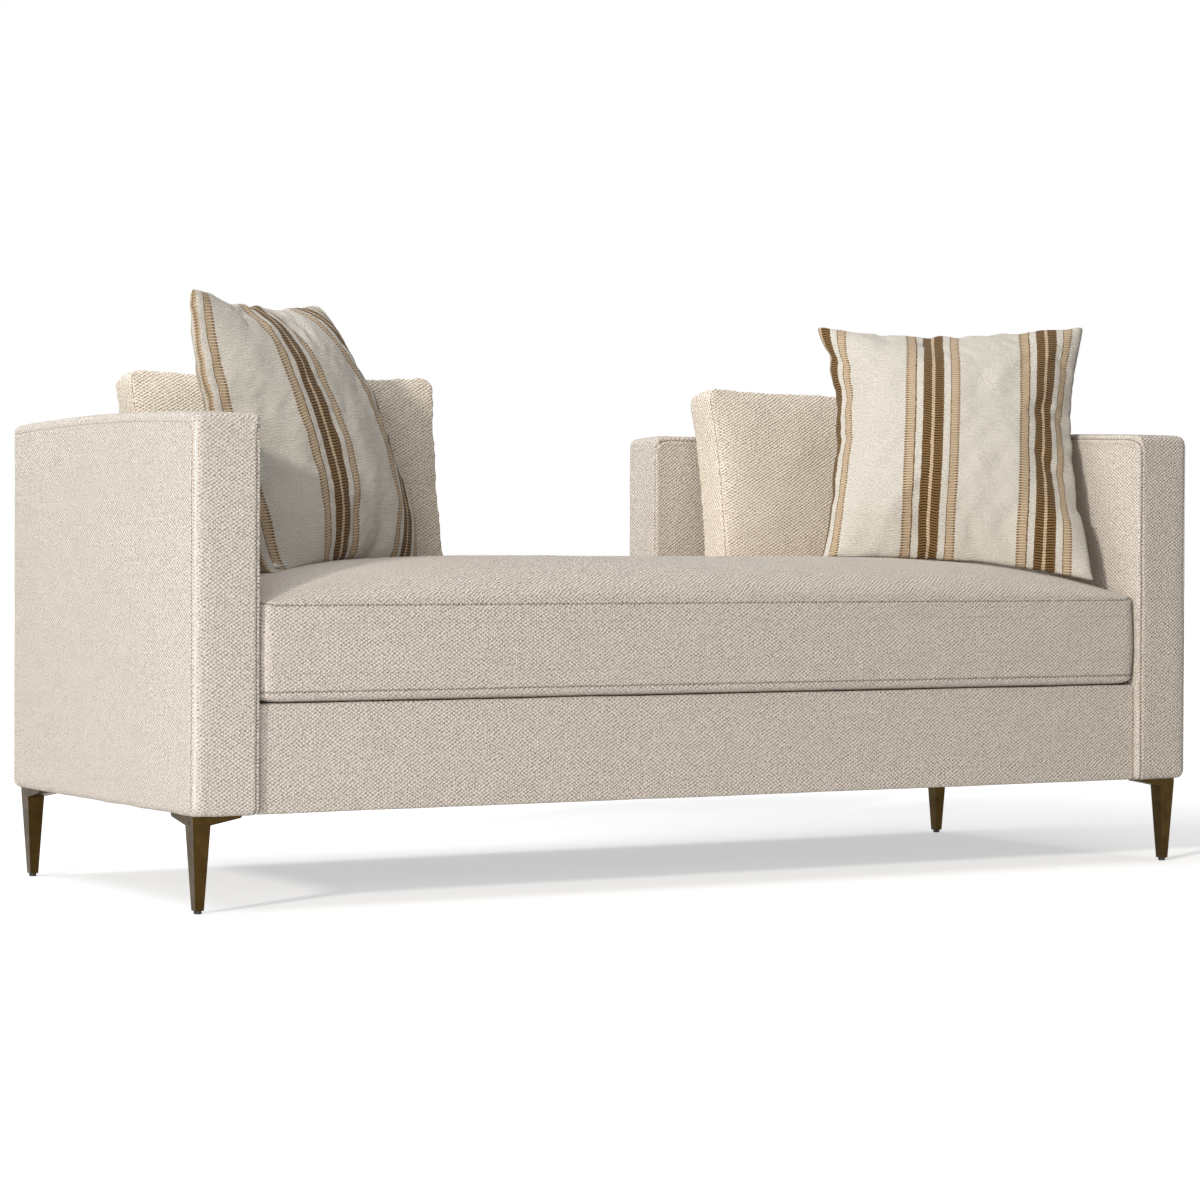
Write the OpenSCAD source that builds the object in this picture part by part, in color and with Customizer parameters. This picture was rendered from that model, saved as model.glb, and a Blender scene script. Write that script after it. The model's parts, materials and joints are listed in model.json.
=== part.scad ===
// Track-arm settee: two padded L-shaped ends, each an arm and a short return of the back,
// with a sprung seat between them, one long seat cushion, two back cushions and two pillows.
// X runs along the seat, -Y is the front, Z is up from the floor. Sizes are in millimetres.

/* [Overall] */
// Length over both arms
overall_w = 1870; // [1600:10:2300]
// Depth from arm front to back
overall_d = 735; // [690:5:820]
// Height of the arms' highest point
overall_h = 745; // [700:5:800]
// Height of the body's underside, which is the legs' height
body_z = 147; // [110:1:180]
// Height of the seat deck
deck_z = 308; // [290:1:330]

/* [Ends] */
// Thickness of an arm
arm_t = 106; // [95:1:140]
// Thickness of the back
back_t = 103; // [95:1:130]
// Length of each back return, from the arm's outer face
return_len = 692; // [560:2:760]
// Rise of the padded arm top between its ends
arm_crown = 8; // [3:1:14]
// Rounding of the outer top edge
outer_round = 28; // [20:1:34]
// Rounding of the inner top edge
inner_round = 20; // [17:1:30]
// Rounding of the lower outer edge
lower_round = 14; // [6:1:18]
// Rounding of the arm front's top edge
front_round = 20; // [17:1:26]

/* [Front rail] */
// How far the rail's face sits behind the arm fronts
rail_recess = 12; // [6:1:20]

/* [Layers] */
// Thickness of the upholstery fabric with its backing
fabric_t = 3; // [2:0.5:4]
// Thickness of the padding
pad_t = 12; // [8:1:14]
// Thickness of the stiff panels under the padding
panel_t = 3; // [2:0.5:4]
// Thickness of the black cloth under the body
dust_t = 1; // [0.5:0.1:1.5]

/* [Timber] */
// Thickness of the rails
rail_t = 25; // [20:1:30]
// Depth of a post along the rail that it joins
post_w = 45; // [35:1:60]
// Height of the braces under the springs
brace_h = 90; // [60:5:110]
// Length of a corner block's short sides
block_leg = 70; // [50:5:90]
// Diameter of the dowels
dowel_d = 10; // [8:1:12]
// Length of the dowels
dowel_len = 50; // [40:2:60]

/* [Springs] */
// Number of sinuous springs
spring_count = 9; // [6:1:11]
// Diameter of the spring wire
wire_d = 4; // [3:0.2:4.4]
// Width of a spring over its loops
spring_w = 52; // [40:2:70]
// Spacing of a spring's loops, fitted to a whole odd count
loop_pitch = 29; // [25:1:34]
// Height of the cleats that carry the springs
cleat_h = 40; // [30:2:50]

/* [Legs] */
// Width of a leg at its top
leg_top_w = 30; // [24:1:36]
// Width of a leg at its foot
leg_foot_w = 14; // [12:1:20]
// Distance from the body's side to a leg's centre
leg_inset_x = 23; // [20:1:40]
// Distance from the body's front or back to a leg's centre
leg_inset_y = 37; // [24:1:50]
// Length of a bracket arm from the leg's outer corner
bracket_len = 80; // [60:1:100]
// Depth of the bracket beside the leg
bracket_root = 15; // [12:1:20]
// Depth of the bracket at its tip
bracket_tip = 6; // [4:0.5:8]
// Diameter of the glide
glide_d = 12; // [8:1:14]
// Height of the glide's pad
glide_h = 5; // [3:0.5:8]

/* [Seat cushion] */
// Height of the lower seam above the deck
seat_lower_seam = 14; // [8:1:24]
// Height of the upper seam above the deck
seat_upper_seam = 146; // [120:1:170]
// Rise of the crown above the upper seam
seat_crown = 74; // [40:1:80]
// Rounding of the upright corners
seat_corner = 35; // [20:1:50]
// How far the cushion's front sits behind the arm fronts
seat_recess = 5; // [3:1:15]
// Room between the cushion and each arm or back
seat_room = 4; // [3.5:0.5:8]

/* [Back cushions] */
// Width of the left back cushion
left_back_w = 546; // [420:2:560]
// Width of the right back cushion
right_back_w = 514; // [420:2:560]
// Height of the back cushions
back_cushion_h = 350; // [300:5:400]
// Width of the boxing between the seams
boxing_w = 75; // [50:1:90]
// Crown of the front face
front_crown = 30; // [15:1:45]
// Crown of the rear face
rear_crown = 10; // [5:1:20]
// Backward lean
back_lean = 10; // [6:1:14]

/* [Pillows] */
// Width of a pillow between its corners
pillow_w = 460; // [380:5:480]
// Thickness of a pillow at its middle
pillow_t = 150; // [100:2:170]
// How far each side draws in between its corners
pillow_draw = 14; // [5:1:25]

/* [Hidden] */
$fn = 48;

// Room left between two layers that meet
layer_gap = 0.3;
// How far a cut runs past the face that it opens
cut_over = 5;
fabric_colour = "#cfc6b8";
wood_colour = "#c9a878";
brass_colour = "#7d6138";

// Places of the layers, counted in from the finished faces
pad_inset = fabric_t + layer_gap;
panel_inset = pad_inset + pad_t + layer_gap;
timber_inset = panel_inset + panel_t + layer_gap;
half_w = overall_w / 2;
half_d = overall_d / 2;
arm_inner_x = half_w - arm_t;
back_inner_y = half_d - back_t;
return_end_x = half_w - return_len;
timber_z = body_z + pad_inset;
arm_top_z = overall_h - arm_crown - panel_inset;
arm_timber_w = arm_t - 2 * timber_inset;
back_timber_w = back_t - 2 * timber_inset;
post_inner_x = arm_inner_x + timber_inset;
front_post_y = -half_d + panel_inset;
rail_face_y = -half_d + rail_recess;
rail_y = rail_face_y + panel_inset;
rear_rail_y = half_d - timber_inset - rail_t;
rail_top_z = deck_z - panel_inset;
lip_w = 18;

// Rounded plan and section shapes

// A rectangle with its own rounding at each corner, from the lower left and anticlockwise
module rounded_rect(low, high, rounds) {
    size = high - low;
    difference() {
        translate(low) square(size);
        corner_cut([low.x, low.y], [1, 1], rounds[0]);
        corner_cut([high.x, low.y], [-1, 1], rounds[1]);
        corner_cut([high.x, high.y], [-1, -1], rounds[2]);
        corner_cut([low.x, high.y], [1, -1], rounds[3]);
    }
}

// What a rounding takes off one corner, with dir pointing into the shape
module corner_cut(corner, dir, r) {
    if (r > 0)
        translate(corner)
            scale_dir(dir)
                difference() {
                    translate([-cut_over, -cut_over]) square(r + cut_over);
                    translate([r, r]) circle(r);
                }
}

module scale_dir(dir) {
    mirror([dir.x < 0 ? 1 : 0, 0])
        mirror([0, dir.y < 0 ? 1 : 0])
            children();
}

// Extrudes a section drawn in X and Z along Y
module along_y(y0, y1) {
    translate([0, y1, 0])
        rotate([90, 0, 0])
            linear_extrude(y1 - y0) children();
}

// Extrudes a section drawn in Y and Z along X
module along_x(x0, x1) {
    translate([x0, 0, 0])
        rotate([90, 0, 90])
            linear_extrude(x1 - x0) children();
}

module box(low, high) {
    translate(low) cube(high - low);
}

module mirrored() {
    mirror([1, 0, 0]) children();
}

// Points of a quarter arc about c, from angle a0 to a0 - 90
arc_steps = 6;
function quarter(c, r, a0) = [for (i = [0:arc_steps]) let (a = a0 - 90 * i / arc_steps) c + r * [cos(a), sin(a)]];

// Height of the arm top at depth y, for a skin lying g inside the finished one
function arm_top(y, g) = overall_h - g - arm_crown * pow(y / half_d, 2);

// Side view of an end in Y and Z: upright faces, rounded top corners and the crowned top
crown_steps = 14;
module end_side(g, z0) {
    rf = front_round - g;
    rb = outer_round - g;
    y0 = -half_d + g;
    y1 = half_d - g;
    crown_ys = [for (i = [1:crown_steps - 1]) y0 + rf + (y1 - y0 - rf - rb) * i / crown_steps];
    polygon(concat([[y0, z0]],
                   quarter([y0 + rf, arm_top(y0 + rf, g) - rf], rf, 180),
                   [for (y = crown_ys) [y, arm_top(y, g)]],
                   quarter([y1 - rb, arm_top(y1 - rb, g) - rb], rb, 90),
                   [[y1, z0]]));
}

// The L-shaped outer form of the left end, g inside the finished faces and down to z0
module end_form(g, z0) {
    low_r = max(lower_round - g, 0);
    intersection() {
        along_x(-half_w, -return_end_x - g) end_side(g, z0);
        union() {
            along_y(-half_d, half_d)
                rounded_rect([-half_w + g, z0], [-arm_inner_x - g, overall_h - g],
                             [low_r, 0, inner_round - g, outer_round - g]);
            along_x(-half_w + g + outer_round, -return_end_x - g)
                rounded_rect([back_inner_y + g, z0], [half_d - g, overall_h - g], [0, 0, 0, inner_round - g]);
        }
        along_y(-half_d, half_d)
            rounded_rect([-half_w + g, z0], [-return_end_x - g, overall_h],
                         [0, 0, inner_round - g + arm_crown, 0]);
    }
}

// The space for panels and timber inside the left end, g inside the padding's inner faces
module end_hollow(g, z0) {
    i = panel_inset + g;
    box([-half_w + i, -half_d + i, z0], [-arm_inner_x - i, half_d - i, arm_top_z - g]);
    box([-half_w + i, back_inner_y + i, z0], [-return_end_x - i, half_d - i, arm_top_z - g]);
}

// Below the deck the end is open on its inner side, where the seat rails run in
module seat_side_cut() {
    box([-half_w + lip_w, rail_y - layer_gap, body_z - cut_over],
        [-return_end_x + cut_over, half_d - lip_w, deck_z + layer_gap]);
}

module end_cover() {
    color(fabric_colour)
        difference() {
            end_form(0, body_z);
            end_form(fabric_t, body_z + fabric_t);
            box([-half_w + lip_w, -half_d + lip_w, body_z - cut_over],
                [-arm_inner_x - lip_w, half_d - lip_w, body_z + 2 * fabric_t]);
            seat_side_cut();
        }
}

module end_padding() {
    color("white")
        difference() {
            end_form(pad_inset, timber_z);
            end_hollow(-layer_gap, timber_z - cut_over);
            seat_side_cut();
        }
}

// Stiff boards on the frame under the padding: outer side, inner side, rear and return front
module end_panels() {
    x0 = -half_w + panel_inset;
    x1 = -arm_inner_x - panel_inset;
    y0 = -half_d + panel_inset;
    y1 = half_d - panel_inset;
    seat_z = deck_z + 2 * layer_gap;
    color("#9a7b52") {
        box([x0, y0, timber_z], [x0 + panel_t, y1, arm_top_z]);
        box([x1 - panel_t, y0, seat_z], [x1, back_inner_y + panel_inset - layer_gap, arm_top_z]);
        box([x0 + panel_t + layer_gap, y1 - panel_t, timber_z], [-return_end_x - panel_inset, y1, arm_top_z]);
        box([x1 + layer_gap, back_inner_y + panel_inset, seat_z],
            [-return_end_x - panel_inset, back_inner_y + panel_inset + panel_t, arm_top_z]);
    }
}

// Timber of the ends

// Front, corner and return posts of the left end
module end_posts() {
    x0 = -half_w + timber_inset;
    top = arm_top_z - layer_gap - rail_t;
    y1 = half_d - timber_inset;
    color(wood_colour) {
        box([x0, front_post_y, timber_z], [x0 + arm_timber_w, front_post_y + post_w, top]);
        box([x0, y1 - back_timber_w, timber_z], [x0 + arm_timber_w, y1, top]);
        box([-return_end_x - panel_inset - post_w, y1 - back_timber_w, rail_top_z + rail_t],
            [-return_end_x - panel_inset, y1, top]);
    }
}

module arm_top_rail() {
    x0 = -half_w + timber_inset;
    color(wood_colour)
        box([x0, front_post_y, arm_top_z - layer_gap - rail_t],
            [x0 + arm_timber_w, half_d - timber_inset, arm_top_z - layer_gap]);
}

// Low rails of the arm, one behind each side
module side_rails() {
    y0 = front_post_y + post_w;
    y1 = half_d - timber_inset - back_timber_w;
    color(wood_colour) {
        box([-post_inner_x - rail_t, y0, timber_z], [-post_inner_x, y1, rail_top_z]);
        box([-half_w + timber_inset, y0, timber_z], [-half_w + timber_inset + rail_t, y1, rail_top_z]);
    }
}

// Base and top planks of the back return
module return_rails() {
    y0 = back_inner_y + timber_inset;
    color(wood_colour)
        for (z = [rail_top_z, arm_top_z - layer_gap - rail_t])
            box([-post_inner_x, y0, z], [-return_end_x - panel_inset, y0 + back_timber_w, z + rail_t]);
}

// Seat frame

module front_rail() {
    color(wood_colour)
        box([-post_inner_x, rail_y, timber_z], [post_inner_x, rail_y + rail_t, rail_top_z]);
}

module back_rail() {
    color(wood_colour)
        box([-post_inner_x, rear_rail_y, timber_z], [post_inner_x, rear_rail_y + rail_t, rail_top_z]);
}

brace_y0 = rail_y + rail_t;
brace_y1 = rear_rail_y;
brace_count = 3;

module cross_braces() {
    color(wood_colour)
        for (i = [1:brace_count]) {
            x = post_inner_x * (2 * i / (brace_count + 1) - 1);
            box([x - rail_t / 2, brace_y0, timber_z], [x + rail_t / 2, brace_y1, timber_z + brace_h]);
        }
}

// Glued blocks in the four inner corners of the seat frame
module corner_blocks() {
    color(wood_colour)
        for (mx = [0, 1]) mirror([mx, 0, 0]) {
            corner_block([-post_inner_x, brace_y0], 1);
            corner_block([-post_inner_x, brace_y1], -1);
        }
}

module corner_block(corner, dir) {
    nose = rail_t / 2;
    translate([corner.x, corner.y, timber_z])
        linear_extrude(brace_h)
            scale_dir([1, dir])
                polygon([[0, 0], [block_leg, 0], [block_leg, nose], [nose, block_leg], [0, block_leg]]);
}

// Places of the dowels that pin the seat rails' ends to the posts
module at_dowels(length) {
    drop = (rail_top_z - timber_z) / 4;
    for (mx = [0, 1]) mirror([mx, 0, 0])
        for (y = [rail_y, rear_rail_y])
            for (z = [timber_z + drop, rail_top_z - drop])
                translate([-post_inner_x - length / 2, y + rail_t / 2, z])
                    rotate([0, 90, 0])
                        cylinder(h = length, d = dowel_d);
}

module frame_dowels() {
    color("#b98f5a") at_dowels(dowel_len);
}

// Timber or cloth with the holes for the dowels and the legs' screws
module drilled() {
    difference() {
        children();
        at_dowels(dowel_len + 2 * layer_gap);
        at_leg_screws(leg_top_z - cut_over)
            cylinder(h = screw_len + cut_over, d = screw_d);
    }
}

// Seat springs

clip_t = 1;
clip_w = 12;
deck_cloth_t = 1.5;
burlap_t = 1.5;
spring_drop = 24;
wire_z = deck_z - spring_drop;
cleat_top_z = wire_z - wire_d / 2 - clip_t;
spring_y0 = brace_y0 + rail_t / 2;
spring_y1 = brace_y1 - rail_t / 2;
loop_count = 2 * round(((spring_y1 - spring_y0) / loop_pitch - 1) / 2) + 1;
spring_pitch = (spring_y1 - spring_y0) / loop_count;
bend_r = spring_pitch / 2;
spring_gap = 2 * post_inner_x / spring_count;

module spring_cleats() {
    color(wood_colour)
        for (y = [brace_y0, brace_y1 - rail_t])
            box([-post_inner_x + block_leg, y, cleat_top_z - cleat_h],
                [post_inner_x - block_leg, y + rail_t, cleat_top_z]);
}

// One side of a zigzag wire: straight runs across, joined by half-round bends at alternate sides
bend_steps = 6;
spring_run = spring_w - spring_pitch;
function bend_side(i) = i % 2 == 0 ? 1 : -1;
function wire_edge(k) =
    [for (i = [0:loop_count - 1]) for (j = [0:bend_steps])
        let (s = bend_side(i), a = 180 * j / bend_steps - 90, r = bend_r + k * s * wire_d / 2)
        [s * (spring_run / 2 + r * cos(a)), spring_y0 + (i + 1 / 2) * spring_pitch + r * sin(a)]];

function reversed(v) = [for (i = [len(v) - 1:-1:0]) v[i]];

module zigzag_spring() {
    tail = spring_run / 2 * bend_side(loop_count);
    translate([0, 0, -wire_d / 2])
        linear_extrude(wire_d)
            polygon(concat([[-spring_run / 2, spring_y0 - wire_d / 2]], wire_edge(1),
                           [[tail, spring_y1 + bend_side(loop_count - 1) * wire_d / 2],
                            [tail, spring_y1 - bend_side(loop_count - 1) * wire_d / 2]],
                           reversed(wire_edge(-1)), [[-spring_run / 2, spring_y0 + wire_d / 2]]));
}

module at_springs() {
    for (i = [0:spring_count - 1])
        translate([-post_inner_x + (i + 1 / 2) * spring_gap, 0, wire_z])
            children();
}

module seat_springs() {
    color("#7f858b")
        at_springs() zigzag_spring();
}

// A folded clip at each end of a spring, open towards the seat
module spring_clips() {
    mouth = wire_d + 2 * layer_gap / 3;
    color("#9aa0a4")
        at_springs()
            for (end = [[spring_y0, -1], [spring_y1, 1]])
                translate([0, end[0], 0])
                    along_x(-clip_w / 2, clip_w / 2)
                        scale_dir([end[1], 1])
                            difference() {
                                translate([-wire_d, -mouth / 2 - clip_t + layer_gap / 3])
                                    square([2 * wire_d + clip_t, mouth + 2 * clip_t - layer_gap / 3]);
                                translate([-wire_d - cut_over, -mouth / 2])
                                    square([wire_d + cut_over + mouth / 2, mouth]);
                            }
}

// Deck layers over the springs

// Plan of the deck: between the arms, with a tongue between the returns
module deck_plan() {
    x = post_inner_x - layer_gap;
    y0 = rail_y + rail_t + layer_gap;
    y1 = back_inner_y + timber_inset - layer_gap;
    union() {
        translate([-x, y0]) square([2 * x, y1 - y0]);
        translate([-return_end_x + layer_gap, y0])
            square([2 * (return_end_x - layer_gap), rear_rail_y - layer_gap - y0]);
    }
}

burlap_z = wire_z + wire_d / 2 + clip_t + layer_gap;
deck_pad_z = burlap_z + burlap_t + layer_gap;
cloth_z = deck_z - deck_cloth_t;

module deck_burlap() {
    color("#a68a5d")
        translate([0, 0, burlap_z]) linear_extrude(burlap_t) deck_plan();
}

module deck_pad() {
    color("#e6e2d8")
        translate([0, 0, deck_pad_z]) linear_extrude(cloth_z - layer_gap - deck_pad_z) deck_plan();
}

module deck_cloth() {
    color("#b9b2a6")
        translate([0, 0, cloth_z]) linear_extrude(deck_cloth_t) deck_plan();
}

// Upholstered rails

rail_cover_x = arm_inner_x - layer_gap;

// Section of the front rail's fabric in Y and Z, wrapped over the top and turned in below
module front_rail_cover() {
    y1 = rail_y + rail_t;
    color(fabric_colour)
        difference() {
            along_x(-rail_cover_x, rail_cover_x)
                rounded_rect([rail_face_y, body_z], [y1, deck_z], [lower_round / 2, 0, 0, lower_round]);
            along_x(-rail_cover_x - cut_over, rail_cover_x + cut_over)
                rounded_rect([rail_face_y + fabric_t, body_z + fabric_t], [y1 + cut_over, deck_z - fabric_t],
                             [0, 0, 0, lower_round - fabric_t]);
            box([-rail_cover_x - cut_over, rail_face_y + lip_w, body_z - cut_over],
                [rail_cover_x + cut_over, y1 + cut_over, body_z + 2 * fabric_t]);
        }
}

module front_rail_padding() {
    y0 = rail_face_y + pad_inset;
    color("white")
        difference() {
            along_x(-rail_cover_x, rail_cover_x)
                rounded_rect([y0, timber_z], [rail_y + rail_t, deck_z - pad_inset],
                             [0, 0, 0, lower_round - pad_inset]);
            box([-rail_cover_x - cut_over, rail_y - layer_gap, timber_z - cut_over],
                [rail_cover_x + cut_over, rail_y + rail_t + cut_over, rail_top_z + layer_gap]);
        }
}

rear_cover_x = return_end_x - layer_gap;

module back_rail_cover() {
    color(fabric_colour)
        difference() {
            along_x(-rear_cover_x, rear_cover_x)
                rounded_rect([rear_rail_y, body_z], [half_d, deck_z], [0, lower_round / 2, lower_round, 0]);
            along_x(-rear_cover_x - cut_over, rear_cover_x + cut_over)
                rounded_rect([rear_rail_y - cut_over, body_z + fabric_t], [half_d - fabric_t, deck_z - fabric_t],
                             [0, 0, lower_round - fabric_t, 0]);
            box([-rear_cover_x - cut_over, rear_rail_y - cut_over, body_z - cut_over],
                [rear_cover_x + cut_over, half_d - lip_w, body_z + 2 * fabric_t]);
        }
}

module back_rail_padding() {
    color("white")
        difference() {
            along_x(-rear_cover_x, rear_cover_x)
                rounded_rect([rear_rail_y, timber_z], [half_d - pad_inset, deck_z - pad_inset],
                             [0, 0, lower_round - pad_inset, 0]);
            box([-rear_cover_x - cut_over, rear_rail_y - cut_over, timber_z - cut_over],
                [rear_cover_x + cut_over, rear_rail_y + rail_t + layer_gap, rail_top_z + layer_gap]);
        }
}

dust_edge = 8;

module dust_cover() {
    color("#2b2a29")
        box([-half_w + dust_edge, -half_d + dust_edge + rail_recess, body_z - dust_t],
            [half_w - dust_edge, half_d - dust_edge, body_z]);
}

// Legs

leg_top_z = body_z - dust_t;
bevel_w = 1;
stem_d = 5;
stem_len = 14;
screw_d = 5;
screw_len = 32;
screw_head_d = 9;
screw_head_h = 3;

// Each leg's corner: signs of X and Y
module at_leg(sx, sy) {
    translate([sx * (half_w - leg_inset_x), sy * (half_d - leg_inset_y), 0])
        mirror([sx > 0 ? 1 : 0, 0, 0])
            mirror([0, sy > 0 ? 1 : 0, 0])
                children();
}

// Side view of the leg's taper, in one of the two upright planes
module taper() {
    polygon([[-leg_foot_w / 2, glide_h], [leg_foot_w / 2, glide_h],
             [leg_top_w / 2, leg_top_z], [-leg_top_w / 2, leg_top_z]]);
}

// Side view of a bracket arm: deep at the leg, thin at its chamfered tip
module bracket_side() {
    tip = bracket_len - leg_top_w / 2;
    chamfer = bracket_tip / 2;
    polygon([[0, leg_top_z], [0, leg_top_z - bracket_root], [leg_top_w / 2, leg_top_z - bracket_root],
             [tip - chamfer, leg_top_z - bracket_tip], [tip, leg_top_z - bracket_tip + chamfer],
             [tip, leg_top_z]]);
}

// The plan of one upright corner with its edges bevelled
module bevelled_plan(w) {
    polygon([[-w / 2 + bevel_w, -w / 2], [w / 2 - bevel_w, -w / 2], [w / 2, -w / 2 + bevel_w],
             [w / 2, w / 2 - bevel_w], [w / 2 - bevel_w, w / 2], [-w / 2 + bevel_w, w / 2],
             [-w / 2, w / 2 - bevel_w], [-w / 2, -w / 2 + bevel_w]]);
}

screw_spots = [[leg_top_w, 0], [bracket_len - leg_top_w, 0], [0, leg_top_w], [0, bracket_len - leg_top_w]];

module leg() {
    color(brass_colour)
        difference() {
            union() {
                intersection() {
                    along_y(-leg_top_w, leg_top_w) taper();
                    along_x(-leg_top_w, leg_top_w) taper();
                    linear_extrude(leg_top_z) bevelled_plan(leg_top_w);
                }
                along_y(-leg_top_w / 2, leg_top_w / 2) bracket_side();
                along_x(-leg_top_w / 2, leg_top_w / 2) bracket_side();
            }
            translate([0, 0, glide_h - cut_over])
                cylinder(h = stem_len + layer_gap + cut_over, d = stem_d);
            for (p = screw_spots) translate([p.x, p.y, 0])
                screw_hole();
        }
}

screw_seat_z = leg_top_z - bracket_tip / 2;

module screw_hole() {
    translate([0, 0, screw_seat_z - bracket_root]) cylinder(h = 2 * bracket_root, d = screw_d);
    translate([0, 0, leg_top_z - bracket_root - cut_over])
        cylinder(h = screw_seat_z - leg_top_z + bracket_root + cut_over, d = screw_head_d + 2 * layer_gap);
}

module at_leg_screws(z) {
    for (sx = [-1, 1]) for (sy = [-1, 1])
        at_leg(sx, sy)
            for (p = screw_spots) translate([p.x, p.y, z])
                children();
}

// Pan-head screws through the brackets into the timber
module leg_screws() {
    color("#3d3a36")
        at_leg_screws(screw_seat_z - screw_head_h)
            rotate_extrude()
                polygon([[0, 0], [screw_head_d / 4, 0], [screw_head_d / 2, screw_head_h / 2],
                         [screw_head_d / 2, screw_head_h], [screw_d / 2, screw_head_h],
                         [screw_d / 2, screw_head_h + screw_len - screw_d],
                         [0, screw_head_h + screw_len]]);
}

// Nail-in glides: a round pad with a softened rim and a stem up the leg
module leg_glides() {
    rim = glide_h / 5;
    color("#1d1c1b")
        for (sx = [-1, 1]) for (sy = [-1, 1])
            at_leg(sx, sy)
                rotate_extrude()
                    polygon([[0, 0], [glide_d / 2 - rim, 0], [glide_d / 2, rim], [glide_d / 2, glide_h],
                             [stem_d / 2, glide_h], [stem_d / 2, glide_h + stem_len],
                             [0, glide_h + stem_len]]);
}

// Cushion forms: a grid of top points, side rings and a grid of bottom points

function clamp01(t) = min(max(t, 0), 1);
// Share of the full rise at share t of the way in from an edge, steep at the edge
function swell(t, power) = sqrt(1 - pow(1 - clamp01(t), power));
function ease(t) = clamp01(t) * clamp01(t) * (3 - 2 * clamp01(t));

// Grid places from -half to half: two in each corner's rounding and count even steps between
function stations(half, r, count) =
    concat([-half, -half + r / 3], [for (i = [0:count]) -half + r + 2 * (half - r) * i / count],
           [half - r / 3, half]);

// Moves a grid point of a square corner onto its rounding
function corner_round(p, half, r) =
    let (d = [(abs(p.x) - half.x + r) / r, (abs(p.y) - half.y + r) / r])
    d.x <= 0 || d.y <= 0 ? p :
    [sign(p.x) * (half.x - r + r * d.x * sqrt(1 - d.y * d.y / 2)),
     sign(p.y) * (half.y - r + r * d.y * sqrt(1 - d.x * d.x / 2))];

// Indices of a grid's rim, in order
function rim(nx, ny) =
    concat([for (i = [0:nx - 2]) i * ny], [for (j = [0:ny - 2]) (nx - 1) * ny + j],
           [for (i = [nx - 1:-1:1]) i * ny + ny - 1], [for (j = [ny - 1:-1:1]) j]);

function grid_faces(nx, ny, base, flip) =
    [for (i = [0:nx - 2]) for (j = [0:ny - 2]) for (k = [0, 1])
        let (a = base + i * ny + j, b = a + ny,
             f = k == 0 ? [a, a + 1, b] : [b + 1, b, a + 1])
        flip ? [f[2], f[1], f[0]] : f];

// Faces between two closed rows of points, the first row above the second
function band_faces(upper, lower) =
    [for (i = [0:len(upper) - 1]) for (k = [0, 1])
        let (n = (i + 1) % len(upper))
        k == 0 ? [upper[i], upper[n], lower[i]] : [upper[n], lower[n], lower[i]]];

// Closed form from a top grid, a bottom grid and rings between their rims
module grid_solid(nx, ny, top, bottom, rings) {
    n = nx * ny;
    edge = rim(nx, ny);
    m = len(edge);
    rows = concat([edge], [for (k = [0:1:len(rings) - 1]) [for (i = [0:m - 1]) 2 * n + k * m + i]],
                  [[for (e = edge) n + e]]);
    polyhedron(points = concat(top, bottom, [for (r = rings) for (p = r) p]),
               faces = concat(grid_faces(nx, ny, 0, false), grid_faces(nx, ny, n, true),
                              [for (k = [0:len(rows) - 2]) for (f = band_faces(rows[k], rows[k + 1])) f]));
}

// Seat cushion

seat_half_w = arm_inner_x - seat_room;
seat_y0 = -half_d + seat_recess;
seat_y1 = back_inner_y - seat_room;
seat_mid_y = (seat_y0 + seat_y1) / 2;
seat_half_d = (seat_y1 - seat_y0) / 2;
seat_bulge = 2.5;
seat_foot_inset = 12;
seat_crest_share = 0.42;
seat_end_power = 4.2;
seat_front_power = 2.8;
seat_x_cells = 12;
seat_y_cells = 6;
seat_seam_z = deck_z + seat_upper_seam;

// Height of the seat's crown at a place, for a skin g inside the finished one
function seat_rise(x, y) =
    let (crest = seat_y0 + seat_crest_share * 2 * seat_half_d)
    swell((seat_half_w - abs(x)) / seat_half_w, seat_end_power)
    * (y < crest ? swell((y - seat_y0) / (crest - seat_y0), seat_front_power)
                 : ease((seat_y1 - y) / (seat_y1 - crest)));

function seat_grid(g) =
    let (half = [seat_half_w - g, seat_half_d - g], r = seat_corner - g)
    [for (x = stations(half.x, r, seat_x_cells)) for (y = stations(half.y, r, seat_y_cells))
        let (p = corner_round([x, y], half, r)) [p.x, p.y + seat_mid_y]];

function seat_ring(g, grow, z, edge, plan) =
    [for (e = edge)
        let (p = plan[e] - [0, seat_mid_y],
             s = [(seat_half_w - g + grow) / (seat_half_w - g), (seat_half_d - g + grow) / (seat_half_d - g)])
        [p.x * s.x, p.y * s.y + seat_mid_y, z]];

module seat_form(g) {
    nx = seat_x_cells + 5;
    ny = seat_y_cells + 5;
    plan = seat_grid(g);
    outer = seat_grid(0);
    edge = rim(nx, ny);
    base = deck_z + layer_gap + g;
    foot = (seat_half_w - seat_foot_inset) / seat_half_w;
    foot_y = (seat_half_d - seat_foot_inset) / seat_half_d;
    grid_solid(nx, ny,
               [for (i = [0:len(plan) - 1])
                   [plan[i].x, plan[i].y, seat_seam_z - g + seat_crown * seat_rise(outer[i].x, outer[i].y)]],
               [for (p = plan) [p.x * foot, (p.y - seat_mid_y) * foot_y + seat_mid_y, base]],
               [seat_ring(g, seat_bulge, deck_z + (seat_lower_seam + seat_upper_seam) / 2, edge, plan),
                seat_ring(g, 0, deck_z + seat_lower_seam + g, edge, plan)]);
}

cover_t = 1.5;

module seat_cushion_cover() {
    color(fabric_colour)
        difference() {
            seat_form(0);
            seat_form(cover_t);
        }
}

module seat_cushion_core() {
    color("#f2ead2") seat_form(cover_t + layer_gap);
}

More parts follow.
